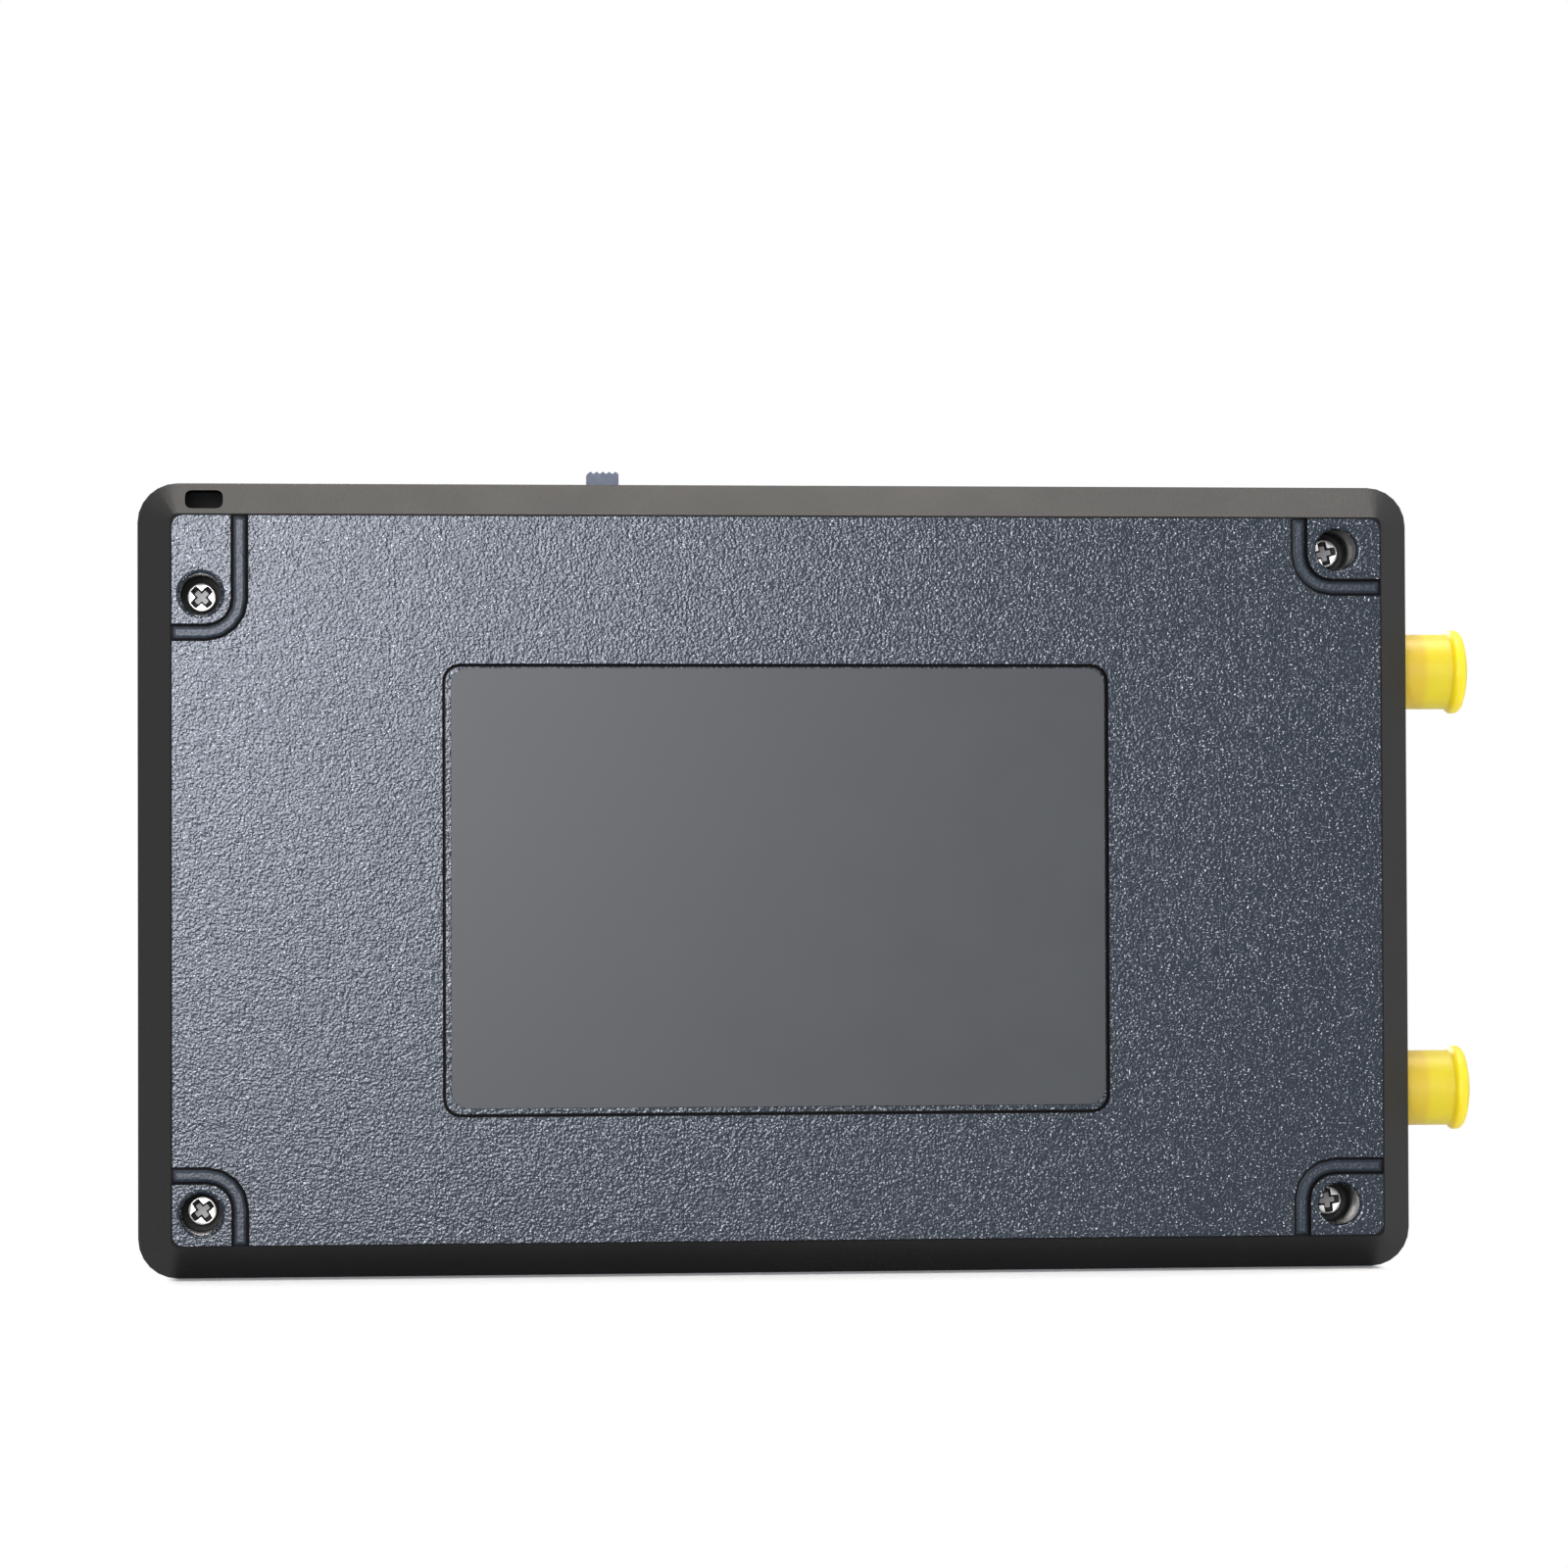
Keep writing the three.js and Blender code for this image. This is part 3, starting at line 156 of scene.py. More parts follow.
# One material: its shader, and the nodes that feed it
class Finish:
    def __init__(self, name, fixed):
        self.material = bpy.data.materials.new(name)
        self.material.use_nodes = True
        self.tree = self.material.node_tree
        self.shader = self.tree.nodes["Principled BSDF"]
        for socket, value in fixed.items():
            self.give(socket, value)

    def give(self, socket, value):
        connect(self.tree, value, self.shader.inputs[socket])

    def node(self, kind, settings=None, sockets=None, output=0):
        made = self.tree.nodes.new(kind)
        for key, value in (settings or {}).items():
            setattr(made, key, value)
        for key, value in (sockets or {}).items():
            connect(self.tree, value, made.inputs[key])
        return Wire(self.tree, made.outputs[output])

    def place(self):
        return self.node("ShaderNodeTexCoord", output="Object")

    def axes(self):
        split = self.node("ShaderNodeSeparateXYZ", sockets={0: self.place()})
        return [Wire(self.tree, output) for output in split.socket.node.outputs]

    def stretched(self, scales):
        sockets = {"Vector": self.place(), "Scale": scales}
        return self.node("ShaderNodeMapping", sockets=sockets, output="Vector")

    def noise(self, scale, detail=2.0, roughness=0.5, place=None):
        sockets = {"Vector": place or self.place(), "Scale": scale, "Detail": detail, "Roughness": roughness}
        return self.node("ShaderNodeTexNoise", sockets=sockets, output="Fac")

    def cells(self, scale, feature="F1"):
        sockets = {"Vector": self.place(), "Scale": scale}
        return self.node("ShaderNodeTexVoronoi", {"feature": feature}, sockets, "Distance")

    # Rises smoothly from 0 at the start to 1 at the end
    def fade(self, value, start, end):
        sockets = {"Value": value, "From Min": start, "From Max": end}
        return self.node("ShaderNodeMapRange", {"interpolation_type": "SMOOTHSTEP"}, sockets)

    def mix(self, share, first, second):
        return self.node("ShaderNodeMix", {"data_type": "RGBA"}, {0: share, 6: first, 7: second}, 2)

    def bump(self, height, strength, distance, under=None):
        sockets = {"Height": height, "Strength": strength, "Distance": distance}
        if under:
            sockets["Normal"] = under
        return self.node("ShaderNodeBump", sockets=sockets, output="Normal")

    # Two tones and perhaps a third that covers them, uneven gloss, and a relief over a finer one
    def dress(self, look, tint, gloss, relief, cover=None, under=None):
        colour = self.mix(tint, look["dark"], look["light"])
        if cover:
            colour = self.mix(cover, colour, look["cover"])
        self.give("Base Color", colour)
        self.give("Roughness", gloss * look["glossSpread"] + look["gloss"])
        self.give("Normal", self.bump(relief, look["strength"], look["depth"], under))


def tone(red, green, blue):
    return (red, green, blue, 1.0)


# A plain surface: two close tones and a fine grain
def grained(name, look):
    finish = Finish(name, look.get("fixed", {}))
    broad = finish.noise(look["broad"], 3.0, 0.6)
    fine = finish.noise(look["fine"], 2.0, 0.6)
    finish.dress(look, broad, broad, fine)
    return finish.material


# Spark-eroded texture of the raised panel: fine pits, a colour a little lighter where the relief stands
# higher, and sparse bright specks painted into the colour as glints
sparkLook = {
    "dark": tone(0.002, 0.005, 0.009),
    "light": tone(0.008, 0.015, 0.024),
    # The cover tone is the painted glint colour
    "cover": tone(0.50, 0.52, 0.58),
    "pitScale": 3500,
    "pitShare": 0.7,
    "coarseScale": 2000,
    "coarseShare": 0.5,
    "paintedGlintScale": 4800,
    "paintedGlintStretch": (1.0, 1.0, 1.25),
    "paintedGlintStart": 0.63,
    "paintedGlintFull": 0.76,
    "cloudScale": 45,
    "gloss": 0.16,
    "glossSpread": 0.08,
    "strength": 1.0,
    "depth": 0.07 * mm,
    "fixed": {"Specular IOR Level": 0.43, "IOR": 1.5, "Specular Tint": tone(0.85, 0.905, 1.0)},
}


def sparkPlastic(name, look):
    finish = Finish(name, look["fixed"])
    pits = finish.noise(look["pitScale"], 1.0, 0.5)
    coarse = finish.noise(look["coarseScale"], 2.0, 0.55)
    paintedGlintNoise = finish.noise(look["paintedGlintScale"], 1.0, 0.5, finish.stretched(look["paintedGlintStretch"]))
    height = pits * look["pitShare"] + coarse * look["coarseShare"]
    # Painted glints: bright specks where this noise peaks
    paintedGlints = finish.fade(paintedGlintNoise, look["paintedGlintStart"], look["paintedGlintFull"])
    finish.dress(look, height, finish.noise(look["cloudScale"]), height, paintedGlints)
    return finish.material


# The same plastic on the channel floors with dimmer painted glints, and duller along their sides, where a
# ring is painted darker as soft shade
channelLook = dict(sparkLook, cover=tone(0.16, 0.17, 0.20), depth=0.05 * mm, gloss=0.33)
# Painted soft shade: a darker glint colour and little specular on the ring beside each channel floor
paintedSoftShadeLook = dict(
    channelLook,
    cover=tone(0.05, 0.055, 0.07),
    gloss=0.42,
    fixed={**sparkLook["fixed"], "Specular IOR Level": 0.2},
)

# Satin plastic of the chamfered rim and the inside of the shell
rimLook = {
    "dark": tone(0.0035, 0.0035, 0.0037),
    "light": tone(0.0060, 0.0060, 0.0062),
    "broad": 90,
    "fine": 3800,
    "gloss": 0.48,
    "glossSpread": 0.10,
    "strength": 0.8,
    "depth": 0.035 * mm,
    "fixed": {"IOR": 1.5, "Specular IOR Level": 0.27},
}
frontLook = dict(rimLook, gloss=0.46, fine=3400, depth=0.022 * mm)
lipLook = dict(
    rimLook,
    gloss=0.2,
    glossSpread=0.06,
    depth=0.004 * mm,
    fixed={"Specular IOR Level": 0.5},
)
# Painted shade: near-black plastic with little specular, put on the step walls and the outer rings of the
# floors, where shade falls
paintedShadeLook = dict(
    rimLook,
    dark=tone(0.003, 0.003, 0.004),
    light=tone(0.005, 0.005, 0.006),
    gloss=0.5,
    fixed={"Specular IOR Level": 0.1},
)
# Painted shade inside the lanyard eye: the same near-black with still less specular
paintedEyeShadeLook = dict(paintedShadeLook, fixed={"Specular IOR Level": 0.08})

# Satin film of the rating label, left blank
labelLook = {
    "dark": tone(0.022, 0.026, 0.031),
    "light": tone(0.031, 0.036, 0.042),
    "broad": 120,
    "fine": 6500,
    "gloss": 0.34,
    "glossSpread": 0.06,
    "strength": 0.35,
    "depth": 0.006 * mm,
    "fixed": {"IOR": 1.5, "Specular IOR Level": 0.31},
}

# Push-on caps: soft yellow polythene with a slightly waxy skin, painted darker over the brass inside as its
# shade through the plastic, and lighter past it
capLook = {
    "dark": tone(0.57, 0.355, 0.018),
    "light": tone(0.64, 0.415, 0.026),
    "cover": tone(0.65, 0.475, 0.011),
    "broad": 160,
    "fine": 2600,
    "gloss": 0.36,
    "glossSpread": 0.12,
    "strength": 0.3,
    "depth": 0.02 * mm,
    "brassEnd": 67.8 * mm,
    "brassFade": 0.4 * mm,
    "fixed": {
        "Subsurface Weight": 0.75,
        "Subsurface Scale": 0.004,
        "Subsurface Radius": (1.0, 0.75, 0.12),
        "IOR": 1.5,
        "Specular IOR Level": 0.4,
    },
}
# The grip rim is painted lighter still, as light through the thick plastic past the brass
gripLook = dict(capLook, dark=capLook["cover"], light=tone(0.71, 0.54, 0.016))


def capPolythene():
    look = capLook
    finish = Finish("capPolythene", look["fixed"])
    broad = finish.noise(look["broad"], 3.0, 0.6)
    fine = finish.noise(look["fine"], 2.0, 0.6)
    x, y, z = finish.axes()
    # Where the painted shade of the brass inside gives way to the lighter tone
    clear = finish.fade(x, look["brassEnd"] - look["brassFade"], look["brassEnd"] + look["brassFade"])
    finish.dress(look, broad, broad, fine, clear)
    return finish.material


knobLook = {
    "dark": tone(0.035, 0.055, 0.095),
    "light": tone(0.135, 0.155, 0.205),
    "broad": 1100,
    "fine": 6000,
    "gloss": 0.42,
    "glossSpread": 0.1,
    "strength": 0.5,
    "depth": 0.012 * mm,
    "fixed": {"Specular IOR Level": 0.3},
}

nickelLook = {
    "dark": tone(0.50, 0.49, 0.47),
    "light": tone(0.72, 0.71, 0.69),
    "broad": 900,
    "fine": 9000,
    "gloss": 0.26,
    "glossSpread": 0.14,
    "strength": 0.25,
    "depth": 0.006 * mm,
    "fixed": {"Metallic": 1.0},
}
# Painted shade: the nickel painted darker inside the cross recess
paintedRecessShadeLook = dict(nickelLook, dark=tone(0.12, 0.12, 0.122), light=tone(0.20, 0.20, 0.202), gloss=0.42)
gildLook = dict(nickelLook, dark=tone(0.70, 0.44, 0.13), light=tone(0.86, 0.60, 0.22), gloss=0.14)

blackLook = {
    "dark": tone(0.010, 0.010, 0.011),
    "light": tone(0.018, 0.018, 0.019),
    "broad": 300,
    "fine": 5200,
    "gloss": 0.42,
    "glossSpread": 0.12,
    "strength": 0.5,
    "depth": 0.012 * mm,
}
chipLook = dict(blackLook, light=tone(0.026, 0.026, 0.027), gloss=0.5, fine=9000)
redWireLook = dict(blackLook, dark=tone(0.36, 0.015, 0.012), light=tone(0.48, 0.025, 0.02))
blackWireLook = dict(blackLook, gloss=0.34)

insulatorLook = {
    "dark": tone(0.72, 0.72, 0.70),
    "light": tone(0.84, 0.84, 0.82),
    "broad": 700,
    "fine": 6000,
    "gloss": 0.38,
    "glossSpread": 0.1,
    "strength": 0.3,
    "depth": 0.01 * mm,
    "fixed": {"Subsurface Weight": 0.2, "Subsurface Scale": 0.0008},
}
creamLook = dict(insulatorLook, dark=tone(0.66, 0.60, 0.45), light=tone(0.76, 0.71, 0.57))

# Steel drawn in one direction, for the cans and socket shells
steelLook = {
    "dark": tone(0.34, 0.34, 0.35),
    "light": tone(0.50, 0.50, 0.51),
    "strokeStretch": (400, 9000, 9000),
    "cloudScale": 120,
    "gloss": 0.2,
    "glossSpread": 0.18,
    "strength": 0.35,
    "depth": 0.006 * mm,
}


def drawnSteel():
    look = steelLook
    finish = Finish("drawnSteel", {"Metallic": 1.0})
    strokes = finish.noise(1.0, 3.0, 0.6, finish.stretched(look["strokeStretch"]))
    finish.dress(look, finish.noise(look["cloudScale"]), strokes, strokes)
    return finish.material


# Foam and the soft frame behind the window: closed cells
foamLook = {
    "dark": tone(0.012, 0.012, 0.012),
    "light": tone(0.035, 0.035, 0.036),
    "cellScale": 2600,
    "gloss": 0.8,
    "glossSpread": 0.15,
    "strength": 0.8,
    "depth": 0.08 * mm,
}


def foamRubber():
    finish = Finish("foamRubber", {})
    cells = finish.cells(foamLook["cellScale"])
    finish.dress(foamLook, cells, cells, cells)
    return finish.material


# Printed circuit board: solder mask, lighter over the tracks, with gilt vias
boardLook = {
    "dark": tone(0.006, 0.045, 0.018),
    "light": tone(0.012, 0.085, 0.03),
    "cover": tone(0.72, 0.50, 0.2),
    "trackScale": 260,
    "trackWidth": 0.045,
    "viaScale": 420,
    "viaSize": 0.17,
    "viaMetal": 0.9,
    "viaRise": 0.5,
    "weaveScale": 3000,
    "weaveStrength": 0.2,
    "weaveDepth": 0.01 * mm,
    "gloss": 0.28,
    "glossSpread": 0.1,
    "strength": 0.5,
    "depth": 0.03 * mm,
}


def boardMask():
    look = boardLook
    finish = Finish("boardMask", {"IOR": 1.5, "Coat Roughness": 0.2})
    tracks = finish.cells(look["trackScale"], "DISTANCE_TO_EDGE") < look["trackWidth"]
    vias = finish.cells(look["viaScale"]) < look["viaSize"]
    weave = finish.noise(look["weaveScale"])
    woven = finish.bump(weave, look["weaveStrength"], look["weaveDepth"])
    finish.dress(look, tracks, weave, tracks + vias * look["viaRise"], vias, woven)
    finish.give("Metallic", vias * look["viaMetal"])
    return finish.material


# Aluminium foil of the pouch battery, with a soft crinkle
pouchLook = {
    "dark": tone(0.42, 0.43, 0.45),
    "light": tone(0.62, 0.63, 0.65),
    "crinkleScale": 260,
    "crinkleShare": 0.8,
    "fineScale": 2200,
    "fineShare": 0.2,
    "gloss": 0.26,
    "glossSpread": 0.2,
    "strength": 0.5,
    "depth": 0.25 * mm,
}


def pouchFoil():
    look = pouchLook
    finish = Finish("pouchFoil", {"Metallic": 0.75})
    crinkle = finish.noise(look["crinkleScale"], 4.0, 0.6)
    fine = finish.noise(look["fineScale"])
    finish.dress(look, crinkle, crinkle, crinkle * look["crinkleShare"] + fine * look["fineShare"])
    return finish.material


# Orange film with copper lines that run along it
ribbonLook = {
    "dark": tone(0.38, 0.14, 0.02),
    "light": tone(0.48, 0.19, 0.035),
    "cover": tone(0.62, 0.33, 0.09),
    "linePitch": 0.25 * mm,
    "lineEdge": 0.13 * mm,
    "cloudScale": 300,
    "gloss": 0.25,
    "glossSpread": 0.1,
    "strength": 0.4,
    "depth": 0.02 * mm,
}


def ribbonFilm():
    look = ribbonLook
    finish = Finish("ribbonFilm", {"IOR": 1.55})
    x, y, z = finish.axes()
    lines = z.maths("PINGPONG", z, look["linePitch"]) > look["lineEdge"]
    cloud = finish.noise(look["cloudScale"])
    finish.dress(look, cloud, cloud, lines, lines)
    return finish.material


# Touch glass over the screen: a black border round a dark blue-grey display
glassLook = {
    "dark": tone(0.0015, 0.0015, 0.002),
    "light": tone(0.008, 0.0105, 0.016),
    "lowMargin": 15.7 * mm,                   # from the glass's edges to the display's
    "highMargin": 7.7 * mm,
    "edgeMargin": 4.05 * mm,
    "smearScale": 40,
    "smearStretch": (1.0, 1.0, 2.2),
    "gloss": 0.03,
    "glossSpread": 0.07,
    "strength": 0.02,
    "depth": 0.2 * mm,
}


def touchGlass():
    look = glassLook
    finish = Finish("touchGlass", {"IOR": 1.45, "Specular IOR Level": 0.35})
    low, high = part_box("touch_panel")
    low = low + Vector((look["lowMargin"], 0, look["edgeMargin"]))
    high = high - Vector((look["highMargin"], 0, look["edgeMargin"]))
    middle = (low + high) / 2
    x, y, z = finish.axes()
    display = (abs(x - middle.x) < high.x - middle.x) * (abs(z - middle.z) < high.z - middle.z)
    smears = finish.noise(look["smearScale"], 4.0, 0.7, finish.stretched(look["smearStretch"]))
    finish.dress(look, display, smears, smears)
    return finish.material


screenLook = {
    "dark": tone(0.30, 0.31, 0.33),
    "light": tone(0.40, 0.41, 0.43),
    "cloudScale": 200,
    "gloss": 0.25,
    "glossSpread": 0.15,
    "strength": 0.15,
    "depth": 0.05 * mm,
}


def screenMetal():
    finish = Finish("screenMetal", {"Metallic": 0.8})
    cloud = finish.noise(screenLook["cloudScale"], 3.0)
    finish.dress(screenLook, cloud, cloud, cloud)
    return finish.material


finishes = {
    "spark": sparkPlastic("sparkPlastic", sparkLook),
    "rim": grained("rimPlastic", rimLook),
    "channel": sparkPlastic("channelPlastic", channelLook),
    "paintedSoftShade": sparkPlastic("paintedSoftShadePlastic", paintedSoftShadeLook),
    "paintedShade": grained("paintedShadePlastic", paintedShadeLook),
    "eyePaintedShade": grained("eyePaintedShadePlastic", paintedEyeShadeLook),
    "lip": grained("lipPlastic", lipLook),
    "front": grained("frontPlastic", frontLook),
    "label": grained("labelFilm", labelLook),
    "cap": capPolythene(),
    "grip": grained("gripPolythene", gripLook),
    "knob": grained("knobPlastic", knobLook),
    "nickel": grained("nickelSteel", nickelLook),
    "recess": grained("recessPaintedShadeNickel", paintedRecessShadeLook),
    "gild": grained("gildBrass", gildLook),
    "steel": drawnSteel(),
    "black": grained("blackPlastic", blackLook),
    "chip": grained("chipEpoxy", chipLook),
    "insulator": grained("insulatorWhite", insulatorLook),
    "cream": grained("creamNylon", creamLook),
    "redWire": grained("redWire", redWireLook),
    "blackWire": grained("blackWire", blackWireLook),
    "foam": foamRubber(),
    "board": boardMask(),
    "pouch": pouchFoil(),
    "ribbon": ribbonFilm(),
    "glass": touchGlass(),
    "screen": screenMetal(),
}
print("materials made:", len(finishes))

alongX = Vector((1, 0, 0))
alongY = Vector((0, 1, 0))
weld = 0.001 * mm
edgeSlack = 0.02 * mm                         # how far an edge or face may lie from a depth it is picked by
faceSlack = 0.01 * mm
flatAngle = math.radians(0.2)
hardAngle = math.radians(25)


# A merged copy of a node; each round softens the hard edges that its test picks
def softCopy(node, *rounds):
    bm = bmesh.new()
    bm.from_mesh(frame["nodes"][node].data)
    bmesh.ops.remove_doubles(bm, verts=bm.verts, dist=weld)
    bmesh.ops.dissolve_limit(bm, angle_limit=flatAngle, verts=bm.verts, edges=bm.edges)
    for width, segments, wanted, *least in rounds:
        hardest = math.radians(least[0]) if least else hardAngle
        hard = [edge for edge in bm.edges if edge.calc_face_angle(0) > hardest and wanted(edge)]
        softenEdges(bm, hard, width, segments)
    return bm


def softenEdges(bm, edges, width, segments):
    bmesh.ops.bevel(
        bm,
        geom=edges,
        offset=width,
        offset_type="OFFSET",
        segments=segments,
        profile=0.5,
        affect="EDGES",
        clamp_overlap=False,
        material=-1,
    )


def everyEdge(edge):
    return True


# Both ends of the edge lie at this depth
def atDepth(depth):
    return lambda edge: all(abs(vert.co.y - depth) < edgeSlack for vert in edge.verts)


# Makes the object, marks its hard edges, and hangs it on its body; facets names each face's finish
def addPiece(name, bm, materials, body, stoodFor, sharp=32, facets=None):
    limit = math.radians(sharp)
    for edge in bm.edges:
        edge.smooth = edge.calc_face_angle(0) < limit
    for face in bm.faces:
        face.smooth = True
        if facets:
            face.material_index = materials.index(facets(face))
    mesh = bpy.data.meshes.new(name)
    bm.to_mesh(mesh)
    bm.free()
    for key in materials:
        mesh.materials.append(finishes[key])
    piece = bpy.data.objects.new(name, mesh)
    scene.collection.objects.link(piece)
    evenShading = piece.modifiers.new("evenShading", "WEIGHTED_NORMAL")
    evenShading.keep_sharp = True
    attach(piece, body)
    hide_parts(*stoodFor)


# A ring or closed body turned round an axis from (radius, along) points
def turn(bm, profile, origin, axis, steps, closed=False):
    across = axis.orthogonal().normalized()
    verts = [bm.verts.new(origin + across * radius + axis * along) for radius, along in profile]
    pairs = list(zip(verts, verts[1:]))
    if closed:
        pairs.append((verts[-1], verts[0]))
    edges = [bm.edges.new(pair) for pair in pairs]
    bmesh.ops.spin(
        bm,
        geom=verts + edges,
        cent=origin,
        axis=axis,
        angle=2 * math.pi,
        steps=steps,
        use_merge=True,
    )
    bmesh.ops.remove_doubles(bm, verts=bm.verts, dist=weld)
    bmesh.ops.recalc_face_normals(bm, faces=bm.faces)


# A screw thread wound round a core: a ridge swept along a helix, closed at both ends
def wind(bm, root, crest, start, end, pitch, origin, axis, steps):
    across = axis.orthogonal().normalized()
    first = origin + axis * (start + pitch / 2)
    foot = pitch * 0.48
    flat = pitch / 10
    ridge = [(root, -foot), (crest, -flat), (crest, flat), (root, foot)]
    verts = [bm.verts.new(first + across * radius + axis * along) for radius, along in ridge]
    count = int((end - start - pitch) / pitch * steps)
    bmesh.ops.spin(
        bm,
        geom=[bm.faces.new(verts)],
        cent=first,
        axis=axis,
        dvec=axis * (pitch / steps),
        angle=count * 2 * math.pi / steps,
        steps=count,
    )
    bmesh.ops.recalc_face_normals(bm, faces=bm.faces)


# Back shell: the chamfered rim, the raised panel and all its cut-outs
shellLook = {
    "panelEdge": 0.10 * mm,
    "wellEdge": 0.42 * mm,
    "wellReach": 2.4 * mm,                    # from a well's axis to just outside its wall
    "lipReach": 2.85 * mm,                    # and to just outside its rounded lip
    "glossTo": 4.5 * mm,                      # the well's wall is glossy down to here
    "outerEdge": 0.2 * mm,
    "outerDepth": 3.85 * mm,
    "partingEdge": 0.14 * mm,
    "grooveDepth": 0.5 * mm,
    "shade": 0.24 * mm,                       # width and height of the steps from a floor's edge inwards; the outermost step is painted black as shade, the channels' next one darker as soft shade
    "crown": 0.10 * mm,
    "softShade": 0.26 * mm,
    "softCrown": 0.03 * mm,
    "labelDepth": 0.6 * mm,
    "labelShade": 0.26 * mm,
    "paintedShadeDepth": 0.62 * mm,
    "bendWidth": 0.28 * mm,
    "bendAngle": 12,
    "bendSide": 0.95 * mm,
    "bendRise": 0.2 * mm,
    "eyeFrom": -60.4 * mm,
    "eyeTo": -56.2 * mm,
    "eyeAbove": 77.0 * mm,
    "eyeBehind": 1.0 * mm,
}
wells = [sum(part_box(f"cover_screw_{number}"), Vector()) / 2 for number in range(1, 5)]


def nearWell(element, reach="wellReach"):
    middle = sum((vert.co for vert in element.verts), Vector()) / len(element.verts)
    return any(math.hypot(middle.x - well.x, middle.z - well.z) < shellLook[reach] for well in wells)


# The upright edges along the bends of the channels, which the CAD draws with few facets
def alongBend(edge):
    look = shellLook
    low, high = sorted(vert.co.y for vert in edge.verts)
    direction = (edge.verts[0].co - edge.verts[1].co).normalized()
    upright = high - low > look["bendRise"] and abs(direction.y) > 0.99
    beside = [other.calc_length() for vert in edge.verts for other in vert.link_edges if other != edge]
    return upright and min(beside) > look["bendSide"] and high < backFace + look["grooveDepth"] + faceSlack


def facesBack(face):
    return face.normal.y < -0.99


# The walls and the far end of the lanyard eye, without the slope of the chamfer
def inEye(face):
    look = shellLook
    spot = face.calc_center_median()
    if not (look["eyeFrom"] < spot.x < look["eyeTo"] and spot.z > look["eyeAbove"] and spot.y < 0):
        return False
    wall = abs(face.normal.y + face.normal.z) > 0.2 and abs(face.normal.y) < 0.6
    return wall or (spot.y > backFace + look["eyeBehind"] and face.normal.y < -0.9)


# Textured on the panel, the well lips and the floors; painted black as shade on the step walls, the floors'
# outer rings and inside the lanyard eye, and painted darker as soft shade on the channels' next ring; glossy
# in the wells
def shellFacets(face):
    look = shellLook
    depth = face.calc_center_median().y - backFace
    channelRing = look["grooveDepth"] - look["crown"] - look["softCrown"] / 2
    channelFloor = look["grooveDepth"] - look["crown"] - look["softCrown"]
    labelFloor = look["labelDepth"] - look["crown"]
    if facesBack(face) and (depth < faceSlack or abs(depth - labelFloor) < faceSlack):
        return "spark"
    if depth < look["wellEdge"] and nearWell(face, "lipReach"):
        return "spark"
    # The ring beside a channel floor: painted soft shade
    if abs(depth - channelRing) < faceSlack:
        return "paintedSoftShade"
    if facesBack(face) and abs(depth - channelFloor) < faceSlack:
        return "channel"
    # The lanyard eye's inside: painted black as shade
    if inEye(face):
        return "eyePaintedShade"
    if nearWell(face):
        return "lip" if depth < look["glossTo"] else "rim"
    # Step walls and the floors' outer rings: painted black as shade
    return "paintedShade" if depth < look["paintedShadeDepth"] else "rim"


def backShell():
    look = shellLook
    onPanel = atDepth(backFace)
    bm = softCopy(
        "back_cover",
        (look["bendWidth"], 2, alongBend, look["bendAngle"]),
        (look["wellEdge"], 4, lambda edge: onPanel(edge) and nearWell(edge)),
        (look["panelEdge"], 2, lambda edge: onPanel(edge) and not nearWell(edge)),
        (look["outerEdge"], 3, atDepth(backFace + look["outerDepth"])),
        (look["partingEdge"], 1, atDepth(housingHigh.y)),
    )
    floorSteps = {
        "grooveDepth": (("shade", "crown"), ("softShade", "softCrown")),
        "labelDepth": (("labelShade", "crown"),),
    }
    for depth, steps in floorSteps.items():
        floorAt = backFace + look[depth]
        floors = [face for face in bm.faces if facesBack(face)]
        floors = [face for face in floors if abs(face.calc_center_median().y - floorAt) < edgeSlack]
        for width, rise in steps:
            bmesh.ops.inset_region(
                bm,
                faces=floors,
                thickness=look[width],
                depth=look[rise],
                use_even_offset=True,
            )
    materials = ["rim", "spark", "channel", "paintedShade", "eyePaintedShade", "lip", "paintedSoftShade"]
    addPiece("backShell", bm, materials, "housing", ["back_cover"], facets=shellFacets)


frontShape = {"edge": 0.12 * mm, "edgeReach": 3 * mm}


def nearFront(edge):
    return all(vert.co.y > frontHigh.y - frontShape["edgeReach"] for vert in edge.verts)


def frontShell():
    parting = (shellLook["partingEdge"], 1, atDepth(housingHigh.y))
    bm = softCopy("front_bezel", (frontShape["edge"], 2, nearFront), parting)
    addPiece("frontShell", bm, ["front"], "housing", ["front_bezel"])


# Pan-head screws with a cross recess, seen deep in their wells
screwLook = {
    "headEdge": 0.13,                         # share of the head's height that rounds over
    "edgePower": 18,                          # how late the flat top turns down to the edge
    "edgeRings": (1.0, 0.99, 0.975, 0.955, 0.93),     # shares of the head's radius, as are the next three
    "flatShare": 0.89,
    "recessLength": 0.80,
    "recessWidth": 0.28,
    "recessDepth": 0.45 * mm,
    "recessFrom": 0.03 * mm,                  # what lies deeper inside the head is painted dark, as shade in the recess
    "recessRim": 0.04 * mm,
    "taper": 0.62,
    "headUnder": 0.05 * mm,
    "tipShare": 0.35,
    "tipLength": 0.5 * mm,
    "threadPitch": 0.7 * mm,
    "threadDepth": 0.13 * mm,
    "threadRise": 0.02 * mm,
    "threadFrom": 0.6 * mm,
    "threadTo": 0.4 * mm,
    "threadSteps": 24,
}
screwTurns = {1: -45, 2: -14, 3: -37, 4: -8}
screwSizes = {"cover": (1.5 * mm, 1.15 * mm, 0.9 * mm), "board": (1.6 * mm, 1.1 * mm, 0.85 * mm)}


